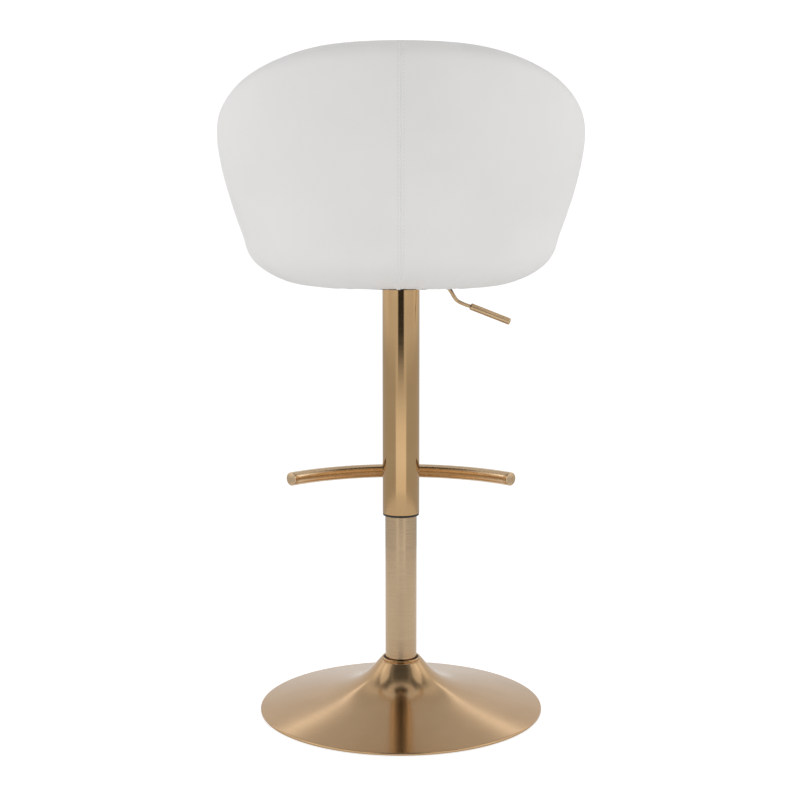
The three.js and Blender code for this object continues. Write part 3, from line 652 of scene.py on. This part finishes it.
def wall_radius(angle, z):
    """Distance of the seat's outer wall from the axis."""
    share = (z - SEAT_LOW) / (WALL_FULL - SEAT_LOW)
    above = max(z - WALL_FULL, 0) / (SEAT_TOP - WALL_FULL)
    if share < 1:
        return plan(angle) * (1 - WALL_TAPER * (1 - share) ** 1.5)
    return plan(angle) * (1 - WALL_TUCK * above**2)


def roll_centre(angle):
    """Middle of the padded roll along the rim."""
    top = rim_height(angle) - ROLL
    return Vector((wall_radius(angle, top) - ROLL, top))


def resample(line, count):
    """The same line with a number of evenly spaced points."""
    lengths = [0]
    for here, there in zip(line, line[1:]):
        lengths.append(lengths[-1] + (there - here).length)
    spaced, i = [], 0
    for k in range(count):
        target = lengths[-1] * k / (count - 1)
        while i < len(line) - 2 and lengths[i + 1] < target:
            i += 1
        gap = lengths[i + 1] - lengths[i]
        spaced.append(line[i].lerp(line[i + 1], (target - lengths[i]) / gap if gap else 0))
    return spaced


def eased(line, passes):
    """The same line with its bends eased, its ends kept."""
    for _ in range(passes):
        line = [line[0]] + [
            line[i] * 0.5 + (line[i - 1] + line[i + 1]) * 0.25 for i in range(1, len(line) - 1)
        ] + [line[-1]]
    return line


OUTER_ROWS = 110


def outer_line(angle):
    """The outer cover's line at an angle, from the opening below to the crest of the rim."""
    centre = wall_radius(angle, CORNER_TOP) - CORNER_OUT
    start = math.acos(clamp((OPENING - centre) / CORNER_OUT))
    line = [Vector((OPENING, CORNER_TOP - CORNER_UP * math.sin(start)))]
    for i in range(25):
        turn = start * (1 - i / 24)
        out, down = CORNER_OUT * math.cos(turn), CORNER_UP * math.sin(turn)
        line.append(Vector((centre + out, CORNER_TOP - down)))
    middle = roll_centre(angle)
    for i in range(1, 30):
        z = CORNER_TOP + (middle.y - CORNER_TOP) * i / 30
        line.append(Vector((wall_radius(angle, z), z)))
    for i in range(13):
        turn = math.pi / 2 * i / 12
        line.append(middle + ROLL * polar(turn))
    return eased(resample(line, OUTER_ROWS), 10)


def angles_round(seams, step=2.0):
    """Angles all round, in radians, close together beside each seam, which is in degrees."""
    near = (0, 0.1, 0.2, 0.3, 0.42, 0.55, 0.7, 0.9, 1.15, 1.5, 2.0, 2.8, 3.8)
    angles = {round((seam + side * d) % 360, 3) for seam in seams for side in (-1, 1) for d in near}
    for k in range(round(360 / step)):
        if all(abs((k * step - seam + 180) % 360 - 180) > 4.8 for seam in seams):
            angles.add(k * step)
    return [math.radians(a) for a in sorted(angles)]


def press(obj, relief):
    """Moves each point of a piece along its normal by relief(place), which is in metres."""
    normals = [v.normal.copy() for v in obj.data.vertices]
    for vertex, normal in zip(obj.data.vertices, normals):
        vertex.co += normal * relief(vertex.co.copy())
    obj.data.update()


def bump_at(x, width, power=2):
    return math.exp(-(abs(x / width) ** power))


SEAM_HALF = 4.2 * MM
STITCH_PITCH = 5.5 * MM


def sewn_seam(across, along):
    """The leather beside a seam: the groove, the swelling of the turned edges and the stitch lines."""
    swell = 0.55 * MM * bump_at(across, 6.5 * MM, 4)
    groove = 1.1 * MM * bump_at(across, 0.7 * MM)
    dents = sum(0.35 * MM * bump_at(across - side * SEAM_HALF, 0.6 * MM) for side in (-1, 1))
    pucker = 0.18 * MM * math.sin(TURN * along / STITCH_PITCH) * bump_at(across, 8 * MM)
    return swell - groove - dents + pucker


def uneven(place):
    """Slow unevenness of stretched leather."""
    return 0.7 * MM * noise.noise(place * 9) + 0.22 * MM * noise.noise(place * 28)


def settle(obj, held, cap, pressure=4.0, frames=20, slack=0.0):
    """Swells a padded piece by cloth simulation; held(place) is 1 where it is sewn or glued down."""
    start = [v.co.copy() for v in obj.data.vertices]
    grip = [held(place) for place in start]
    group = obj.vertex_groups.new(name="held")
    for i, weight in enumerate(grip):
        group.add([i], weight, "REPLACE")
    cloth = obj.modifiers.new("cloth", "CLOTH")
    cloth.point_cache.frame_end = frames
    rules = cloth.settings
    rules.quality = 6
    rules.use_pressure = True
    rules.uniform_pressure_force = pressure
    rules.vertex_group_mass = "held"
    rules.shrink_min = -slack
    rules.effector_weights.gravity = 0
    scene = bpy.context.scene
    for step in range(1, frames + 1):
        scene.frame_set(step)
    shaped = obj.evaluated_get(bpy.context.evaluated_depsgraph_get()).to_mesh()
    places = [v.co.copy() for v in shaped.vertices]
    obj.modifiers.remove(cloth)
    obj.vertex_groups.remove(group)
    scene.frame_set(1)
    for vertex, before, after, weight in zip(obj.data.vertices, start, places, grip):
        move = (after - before) * (1 - weight)
        if move.length > 0:
            vertex.co = before + move * (cap * math.tanh(move.length / cap) / move.length)
    obj.data.update()


def stitches(name, line, target, radius=0.45 * MM, length=3.9 * MM):
    """A row of thread stitches lying on a piece, along a line close to its surface."""
    tree = surface_tree(target)
    spots = even_steps([tree.find_nearest(p)[0] for p in line], STITCH_PITCH)
    bm = bmesh.new()
    for here, there in zip(spots, spots[1:]):
        spot, normal, _, _ = tree.find_nearest((here + there) / 2)
        run = (there - here).normalized()
        side = normal.cross(run).normalized()
        rows = []
        for t in (-1, -0.82, -0.4, 0.4, 0.82, 1):
            thick = radius * math.sqrt(max(1 - t**4, 0.02))
            sink = radius * (0.15 - 0.9 * t * t)
            middle = spot + run * (t * length / 2) + normal * sink
            rows.append([
                bm.verts.new(middle + (side * math.cos(a) + normal * math.sin(a)) * thick)
                for a in (TURN * k / 8 for k in range(8))
            ])
        grid_faces(bm, rows, closed_along=False)
        bm.faces.new(rows[0])
        bm.faces.new(rows[-1])
    made = from_bmesh(name, bm, 80)
    return dress(made, THREAD, "lift", "white_leather")


def surface_tree(obj):
    faces = [tuple(face.vertices) for face in obj.data.polygons]
    return BVHTree.FromPolygons([v.co for v in obj.data.vertices], faces)


# ---- outer cover ----
LINING_REACH = 105 * MM
LINING_HOLE = 66 * MM
LINING_THICK = 0.9 * MM
LINING_LOW = SEAT_LOW + 1 * MM
STAPLED_IN = 3.2 * MM
UNDER_TOP = 712 * MM


def cover_outline(angle):
    """The sheet's outside from the opening below to the rim's crest, and back along its inside."""
    line = outer_line(angle)
    inside = []
    for i in range(len(line) - 2, 0, -9):
        run = (line[i + 1] - line[i - 1]).normalized()
        inside.append(line[i] - Vector((run.y, -run.x)) * LEATHER_THICK)
    lip = [line[-1] + Vector((0.1 * MM, -0.8 * MM)), line[-1] + Vector((0.3 * MM, -3 * MM))]
    return line + lip + inside[1:]


def under_share(place):
    """One on the leather pulled in under the seat, fading to zero at its lower corner."""
    depth = clamp((UNDER_TOP - place.z) / (24 * MM))
    return depth**2 * clamp((reach_of(place) - OPENING) / (6 * MM))


def stapled_share(place):
    """One where the staples draw the leather up, fading to zero beyond the lining's edge."""
    if place.z > SEAT_LOW + 12 * MM:
        return 0
    return clamp(1 - (reach_of(place) - LINING_REACH) / (7 * MM))


def cover_relief(place):
    """Unevenness of the cover, its pleats under the seat and its seam at the back."""
    angle = angle_of(place)
    crest = clamp((rim_height(angle) - place.z) / (2.5 * MM))
    pleat = math.sin(46 * angle + 3 * noise.noise(place * 14)) + 0.6 * math.sin(27 * angle + 1.3)
    relief = uneven(place) + 0.7 * MM * pleat * under_share(place)
    relief -= STAPLED_IN * stapled_share(place)
    if place.y > 0 and abs(place.x) < 30 * MM:
        relief += sewn_seam(place.x, place.z)
    return relief * crest


def outer_cover():
    made = around("seat_outer", cover_outline, angles_round([0]), 50)
    press(made, cover_relief)
    return dress(made, LEATHER, "lift", "white_leather", "outer_cover")


# ---- padded inside ----
PAD_IN = 2 * ROLL
PAD_SEAMS = (-40, 40)
CUSHION_TOP = high("seat_cushion").z
CUSHION_EDGE = CUSHION_TOP - 15 * MM
CUSHION_GAP = 3 * MM


def pad_radius(angle, z):
    """Distance of the padding's inner face from the axis."""
    return wall_radius(angle, z) - PAD_IN


def pad_outline(angle):
    """The padding: inner face, inner half of the roll, and its hidden side against the shell."""
    middle = roll_centre(angle)
    foot = BOARD_TOP + 0.5 * MM
    line = []
    for i in range(26):
        z = foot + (middle.y - foot) * i / 26
        line.append(Vector((pad_radius(angle, max(z, CORNER_TOP)), z)))
    for i in range(13):
        turn = math.pi - math.pi / 2 * i / 12
        line.append(middle + ROLL * polar(turn))
    line = eased(resample(line, 52), 4)
    line[-1] += Vector((-0.35 * MM, 0))
    crest = line[-1]
    line += [crest + Vector((0, -1 * MM)), crest + Vector((0, -5 * MM))]
    for degrees in (60, 30, 0):
        line.append(middle + (ROLL - 7.5 * MM) * polar(math.radians(degrees)))
    back = 15.5 * MM
    line.append(Vector((wall_radius(angle, middle.y) - back, middle.y + 1.5 * MM)))
    for i in range(1, 9):
        z = middle.y + (CORNER_TOP - middle.y) * i / 8
        line.append(Vector((wall_radius(angle, z) - back, z)))
    centre = wall_radius(angle, CORNER_TOP) - CORNER_OUT
    turn = math.radians(30)
    line.append(Vector((centre + (CORNER_OUT - back) * math.cos(turn),
                        CORNER_TOP - (CORNER_UP - back) * math.sin(turn))))
    return line


def seam_distance(place):
    """How far a place inside the bucket is from the nearest of the padding's two seams."""
    angle = math.degrees(angle_of(place))
    nearest = min(abs(angle - seam) for seam in PAD_SEAMS)
    return math.radians(nearest) * reach_of(place)


def pad_held(place):
    """The padding is sewn at its seams and along the crest, and held behind and by the cushion."""
    angle = angle_of(place)
    middle = roll_centre(angle)
    r = reach_of(place)
    behind = r > middle.x or r > wall_radius(angle, place.z) - 30 * MM and place.z < middle.y
    below = clamp((CUSHION_TOP + 22 * MM - place.z) / (24 * MM))
    crest = clamp((r - middle.x + 16 * MM) / (14 * MM)) if place.z > middle.y else 0
    seam = clamp((9 * MM - seam_distance(place)) / (7 * MM))
    return 1.0 if behind else max(below, crest**2, seam)


def pad_relief(place):
    """Unevenness of the padding and its two seams."""
    angle = angle_of(place)
    crest = clamp((rim_height(angle) - place.z) / (2.5 * MM))
    relief = 0.6 * uneven(place)
    nearest = min(PAD_SEAMS, key=lambda seam: abs(math.degrees(angle) - seam))
    across = (angle - math.radians(nearest)) * reach_of(place)
    if abs(across) < 30 * MM and place.z > CUSHION_TOP - 25 * MM:
        relief += sewn_seam(across, place.z)
    return relief * crest


def inner_pad():
    made = around("seat_inner", pad_outline, angles_round(PAD_SEAMS), 50)
    settle(made, pad_held, 9 * MM, 5.0, slack=0.015)
    press(made, pad_relief)
    return dress(made, LEATHER, "lift", "padded_leather", "inner_pad")


# ---- seat cushion ----
def bucket_radius(angle, z):
    """How far out the cushion may reach inside the padding."""
    return pad_radius(angle, max(z, CORNER_TOP)) - 1.2 * MM


def cushion_edge(angle):
    """The sewn edge between the cushion's top panel and its border."""
    return on_plan(angle, (bucket_radius(angle, CUSHION_EDGE) - CUSHION_GAP, CUSHION_EDGE))


def cushion_outline(angle):
    """Half the cushion's section, before its cover swells."""
    foot = BOARD_TOP + 2.5 * MM
    edge = bucket_radius(angle, CUSHION_EDGE) - CUSHION_GAP
    return [
        (0, foot), (bucket_radius(angle, foot) - 12 * MM, foot),
        (bucket_radius(angle, foot) - 5 * MM, foot + 8 * MM),
        (bucket_radius(angle, CUSHION_EDGE - 10 * MM) - 2 * MM, CUSHION_EDGE - 10 * MM),
        (edge, CUSHION_EDGE), (edge - 10 * MM, CUSHION_EDGE + 6 * MM),
        (edge - 30 * MM, CUSHION_EDGE + 11 * MM),
        (edge * 0.55, CUSHION_TOP - 1 * MM), (0, CUSHION_TOP + 1 * MM),
    ]


def cushion_held(place):
    """The cushion is held at its sewn edge and underneath."""
    if place.z < BOARD_TOP + 6 * MM:
        return 1.0
    to_edge = (place - cushion_edge(angle_of(place))).length
    return clamp((8 * MM - to_edge) / (6 * MM))


def cushion_relief(place):
    """Unevenness of the cushion's cover, and the pucker beside its piping."""
    angle = angle_of(place)
    inside = (bucket_radius(angle, CUSHION_EDGE) - reach_of(place)) / (26 * MM)
    fade = clamp(1 - inside) if place.z > CUSHION_EDGE - 8 * MM else 0
    pucker = math.sin(64 * angle + 2 * noise.noise(place * 12)) * fade**2
    return 1.3 * uneven(place) + 0.55 * MM * pucker


def seat_cushion():
    """The cushion: swelled in its cover, then kept inside the padded bucket."""
    made = around("seat_cushion_top", cushion_outline, 120)
    remesh = made.modifiers.new("remesh", "REMESH")
    remesh.mode, remesh.voxel_size = "VOXEL", 5 * MM
    shaped = bpy.data.meshes.new_from_object(
        made.evaluated_get(bpy.context.evaluated_depsgraph_get()))
    made.modifiers.clear()
    made.data = shaped
    settle(made, cushion_held, 24 * MM, 4.0, slack=0.01)
    for vertex in made.data.vertices:
        place = vertex.co
        r, limit = reach_of(place), bucket_radius(angle_of(place), place.z)
        if r > limit:
            place.x, place.y = place.x * limit / r, place.y * limit / r
    press(made, cushion_relief)
    smooth = made.modifiers.new("subdivision", "SUBSURF")
    smooth.levels = smooth.render_levels = 1
    made.data.shade_smooth()
    return dress(made, LEATHER, "lift", "padded_leather", "seat_cushion")


def strand(name, points, radius, look, body, slot):
    """A closed round cord through points."""
    curve = bpy.data.curves.new(name, "CURVE")
    curve.dimensions = "3D"
    curve.bevel_depth, curve.bevel_resolution = radius, 4
    spline = curve.splines.new("POLY")
    spline.points.add(len(points) - 1)
    for point, place in zip(spline.points, points):
        point.co = (*place, 1)
    spline.use_cyclic_u = True
    return dress(new_object(name, curve), look, body, slot)


def seam_line(surface, seam, side, low_to, high_to):
    """A line beside an upright seam, SEAM_HALF to one side."""
    line = []
    for i in range(81):
        z = low_to + (high_to - low_to) * i / 80
        r = surface(math.radians(seam), z)
        line.append(on_plan(math.radians(seam) + side * SEAM_HALF / r, (r, z)))
    return line


def crest_line(offset):
    """A line along the top of the rim, to one side of its middle."""
    return [
        on_plan(a, roll_centre(a) + Vector((offset, ROLL)))
        for a in (TURN * i / 360 for i in range(361))
    ]


def seat():
    """The cover, padding and cushion, with their stitches and piping."""
    outer, inner = outer_cover(), inner_pad()
    seat_cushion()
    for label, side in (("left", 1), ("right", -1)):
        line = seam_line(wall_radius, 0, side, SEAT_LOW + 14 * MM, SEAT_TOP - 4 * MM)
        stitches(f"back_stitches_{label}", line, outer)
        for number, seam in enumerate(PAD_SEAMS, 1):
            top = rim_height(math.radians(seam)) - 6 * MM
            line = seam_line(pad_radius, seam, side, CUSHION_TOP - 15 * MM, top)
            stitches(f"inner_stitches_{number}_{label}", line, inner)
    stitches("crest_stitches_outer", crest_line(SEAM_HALF), outer)
    stitches("crest_stitches_inner", crest_line(-SEAM_HALF), inner)
    edge = [cushion_edge(TURN * i / 240) for i in range(240)]
    strand("cushion_piping", edge, 2.8 * MM, LEATHER, "lift", "white_leather")


seat()

# ---- under the seat ----
SLOT_END = 90 * MM
SLOT_ANGLE = math.radians(270)
STAPLES = 26


def lining_hole(angle):
    """Radius of the lining's hole: a rounded square, with a slot for the lever towards -X."""
    square = LINING_HOLE / (abs(math.sin(angle)) ** 6 + abs(math.cos(angle)) ** 6) ** (1 / 6)
    slot = SLOT_END * bump_at(angle - SLOT_ANGLE, math.radians(7), 8)
    return max(square, slot)


def lining_outline(angle):
    """A sheet with its outer edge turned under in a hem."""
    hole, top = lining_hole(angle), LINING_LOW + LINING_THICK
    hem, fold = LINING_REACH - 9 * MM, 0.5 * MM
    return [
        (hole, LINING_LOW), (max(hem, hole + 1 * MM), LINING_LOW),
        (max(hem, hole + 1 * MM) + 0.8 * MM, LINING_LOW - fold),
        (LINING_REACH - 0.7 * MM, LINING_LOW - fold), (LINING_REACH, LINING_LOW),
        (LINING_REACH, top - 0.3 * MM), (LINING_REACH - 0.4 * MM, top), (hole, top),
    ]


def lining():
    made = around("bottom_lining", lining_outline, 240, 40)
    press(made, lambda place: 0.25 * MM * noise.noise(place * 70))
    return dress(made, LINING, "lift", "lining", "dust_cover")


def staples():
    """Flat wire staples through the lining's hem."""
    bm = bmesh.new()
    for i in range(STAPLES):
        angle = TURN * (i + 0.5) / STAPLES
        if abs(angle - SLOT_ANGLE) < math.radians(9):
            continue
        spot = on_plan(angle, (LINING_REACH - 4.6 * MM, LINING_LOW - 0.6 * MM))
        turn = Matrix.Rotation(-angle + 0.12 * math.sin(5 * i), 4, "Z")
        size = Matrix.Diagonal((10 * MM, 1.1 * MM, 0.7 * MM, 1))
        made = bmesh.ops.create_cube(bm, size=1, matrix=Matrix.Translation(spot) @ turn @ size)
        edges = {edge for vertex in made["verts"] for edge in vertex.link_edges}
        bmesh.ops.bevel(bm, geom=list(edges), offset=0.3 * MM, segments=2, affect="EDGES")
    return dress(from_bmesh("staples", bm, 50), STEEL, "lift", "steel")


def hexagon(angle, across):
    """Distance to a hexagon's side, for its half width across the flats."""
    return across / math.cos((angle + math.pi / 6) % (math.pi / 3) - math.pi / 6)


def foot_of(bottom, top):
    """Middle of the underside of a box."""
    return Vector(((bottom.x + top.x) / 2, (bottom.y + top.y) / 2, bottom.z))


def seat_bolt(number):
    """A hexagon bolt: chamfered head below, shank above."""
    bottom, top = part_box(f"seat_bolt_{number}")
    head, shank = 5.3 * MM, 3.9 * MM
    half = (top.x - bottom.x) / 2 * math.cos(math.pi / 6)

    def outline(angle):
        corner = hexagon(angle, half)
        return [
            (0, 0.5 * MM), (half * 0.5, 0.5 * MM), (half * 0.6, 0), (half * 0.9, 0),
            (min(corner, half * 1.02), 0.5 * MM), (min(corner, half * 1.1), 1.1 * MM),
            (corner, 1.9 * MM), (corner, head), (shank, head),
            (shank, top.z - bottom.z), (0, top.z - bottom.z),
        ]

    made = around(f"bolt_{number}", outline, 72, 25)
    aim(made, foot_of(bottom, top), UP)
    dress(made, STEEL, "lift", "steel", f"seat_bolt_{number}")


def bolt_washer(number):
    bottom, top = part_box(f"washer_{number}")
    ring = tube_outline(4.4 * MM, (top.x - bottom.x) / 2, 0, top.z - bottom.z, 0.4 * MM)
    made = around(f"bolt_washer_{number}", ring, 64)
    aim(made, foot_of(bottom, top), UP)
    dress(made, STEEL, "lift", "steel", f"washer_{number}")


def pivot_pin():
    """The lever's pin, with a domed rivet head on each side of the tray."""
    bottom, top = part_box("lever_pivot_pin")
    half, radius = (top.y - bottom.y) / 2, (top.z - bottom.z) / 2
    outline = [(0, -half - 1.6 * MM)]
    for i in range(1, 8):
        turn = math.pi / 2 * i / 7
        outline.append((4.2 * MM * math.sin(turn), -half - 1.6 * MM * math.cos(turn)))
    outline += [(4.2 * MM, -half + 0.7 * MM), (radius, -half + 0.7 * MM)]
    outline += [(r, -z) for r, z in reversed(outline)]
    made = around("pivot_pin", outline[:-1] + [(0, half + 1.6 * MM)], 48, 50)
    aim(made, (bottom + top) / 2, Vector((0, 1, 0)))
    dress(made, STEEL, "lift", "steel", "lever_pivot_pin")


lining()
staples()
for number in range(1, 5):
    seat_bolt(number)
    bolt_washer(number)
pivot_pin()

# ---- finishes of the CAD pieces that stay ----
# by the start of a piece's name; the longest start counts, and the rest are steel
LOOKS = {
    "ballast_plate": CAST_IRON, "guide_bush": NYLON, "piston": NYLON, "piston_rod": STEEL,
    "rubber_bumper": RUBBER, "gas_cylinder": BLACK_STEEL, "rod_gland": NYLON, "top_bush": NYLON,
    "mechanism": BLACK_STEEL, "seat_board": PLYWOOD, "tub_core": PLYWOOD,
}
BEVELLED = ("ballast_plate", "anchor", "mechanism", "hub", "column_end_plate")


def ease_edges(obj):
    """Fine rounded edges, by modifiers."""
    weld = obj.modifiers.new("weld", "WELD")
    weld.merge_threshold = 0.01 * MM
    bevel = obj.modifiers.new("bevel", "BEVEL")
    bevel.width, bevel.segments = 0.5 * MM, 2
    bevel.limit_method, bevel.angle_limit = "ANGLE", math.radians(35)
    bevel.harden_normals = True


for name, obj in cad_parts.items():
    if obj.hide_render:
        continue
    match = max((key for key in LOOKS if name.startswith(key)), key=len, default=None)
    obj.data.materials.clear()
    obj.data.materials.append(LOOKS.get(match, STEEL))
    if name.startswith(BEVELLED):
        ease_edges(obj)


# ---- studio ----
# Patches of the surrounding light: amount, then bearing from, to and softness, and elevation
# from, to and softness, in degrees. Both sides are alike, with bearing 0 behind the camera.
STUDIO = [
    (0.76, -30, 210, 5, -120, 120, 5),
    (0.36, -60, 32, 2, -60, -9.2, 1.5),
    (-0.72, -60, 18, 2, -4.4, 34, 2.2),
    (-0.66, -62, 62, 18, 34.5, 88, 2.5),
    (-0.20, 34, 240, 4, -60, -3.5, 2),
    (0.85, 22, 84, 5, 6, 34, 4),
    (0.40, 84, 125, 6, 2, 45, 6),
    (-0.58, 66, 124, 12, 36, 78, 6),
    (-0.22, 148, 240, 8, 36, 64, 1.5),
    (0.85, 140, 240, 6, 30.8, 33.6, 0.8),
]
FLOOR_RADIUS = 1.1
FLOOR_GLOW = (0.4, 0.75)
BACKGROUND = 1.1
CAMERA_PLACE = (0, 2.555, 0.873)
CAMERA_DOWN = 8.32
LENS = 74.1
SENSOR = 36
SHIFT = -1 / 800
SOFTBOX_PLACE = Vector((2.2, 0.15, 2.2))
SOFTBOX_TARGET = Vector((0, 0, 0.4))
SOFTBOX_SIZE = (1.3, 1.8)
SOFTBOX_POWER = 5


def floor():
    """A pale disc, seen from above only, that glows more for the camera than on the object."""
    bm = bmesh.new()
    bmesh.ops.create_circle(bm, cap_ends=True, segments=96, radius=FLOOR_RADIUS)
    made = from_bmesh("studio_floor", bm)
    look, tree, shader = principled("studio_floor", {"Roughness": 0.9, "Specular IOR Level": 0.1})
    shader.inputs["Base Color"].default_value = (0.62, 0.62, 0.62, 1)
    shader.inputs["Emission Color"].default_value = (1, 1, 1, 1)
    seen = node(tree, "LightPath").outputs["Is Camera Ray"]
    tree.links.new(span(tree, seen, *FLOOR_GLOW), shader.inputs["Emission Strength"])
    below = node(tree, "NewGeometry").outputs["Backfacing"]
    clear = node(tree, "BsdfTransparent").outputs[0]
    both = node(tree, "MixShader", {0: below, 1: shader.outputs[0], 2: clear})
    tree.links.new(both.outputs[0], tree.nodes["Material Output"].inputs["Surface"])
    made.data.materials.append(look)


def window(tree, value, start, end, soft):
    """One between start and end, falling to zero outside over a soft edge."""
    rise = span(tree, value, 0.0, 1.0, start - soft, start + soft)
    fall = span(tree, value, 1.0, 0.0, end - soft, end + soft)
    return maths(tree, "MULTIPLY", rise, fall)


def studio_world():
    """Light from all round, in degrees of bearing from the camera's side and of elevation."""
    world = bpy.data.worlds.new("studio")
    world.use_nodes = True
    bpy.context.scene.world = world
    tree = world.node_tree
    tree.nodes.clear()
    toward = node(tree, "TexCoord").outputs["Generated"]
    parts = node(tree, "SeparateXYZ", {"Vector": toward}).outputs
    sideways = maths(tree, "ABSOLUTE", parts["X"])
    bearing = maths(tree, "DEGREES", maths(tree, "ARCTAN2", sideways, parts["Y"]))
    rise = maths(tree, "DEGREES", maths(tree, "ARCSINE", parts["Z"]))
    level = None
    for amount, *limits in STUDIO:
        across, upwards = window(tree, bearing, *limits[:3]), window(tree, rise, *limits[3:])
        change = maths(tree, "MULTIPLY", maths(tree, "MULTIPLY", across, upwards), amount)
        level = change if level is None else maths(tree, "ADD", level, change)
    seen = node(tree, "LightPath").outputs["Is Camera Ray"]
    level = node(tree, "Mix", {"Factor": seen, "A": level, "B": BACKGROUND}).outputs["Result"]
    glow = node(tree, "Background", {"Strength": level})
    glow.inputs["Color"].default_value = (1, 1, 1, 1)
    node(tree, "OutputWorld", {"Surface": glow.outputs[0]})


def softbox(name, place):
    light = bpy.data.lights.new(name, "AREA")
    light.shape = "RECTANGLE"
    light.size, light.size_y = SOFTBOX_SIZE
    light.energy = SOFTBOX_POWER
    made = new_object(name, light)
    made.location = place
    made.rotation_euler = (SOFTBOX_TARGET - place).to_track_quat("-Z", "Y").to_euler()
    made.visible_camera = False


def camera():
    lens = bpy.data.cameras.new("camera")
    lens.lens, lens.sensor_width, lens.shift_x = LENS, SENSOR, SHIFT
    made = new_object("camera", lens)
    made.location = CAMERA_PLACE
    made.rotation_euler = (math.radians(90 - CAMERA_DOWN), 0, math.radians(180))
    bpy.context.scene.camera = made


floor()
studio_world()
softbox("softbox_left", SOFTBOX_PLACE)
softbox("softbox_right", SOFTBOX_PLACE * Vector((-1, 1, 1)))
camera()
bpy.context.scene.view_settings.view_transform = "Standard"
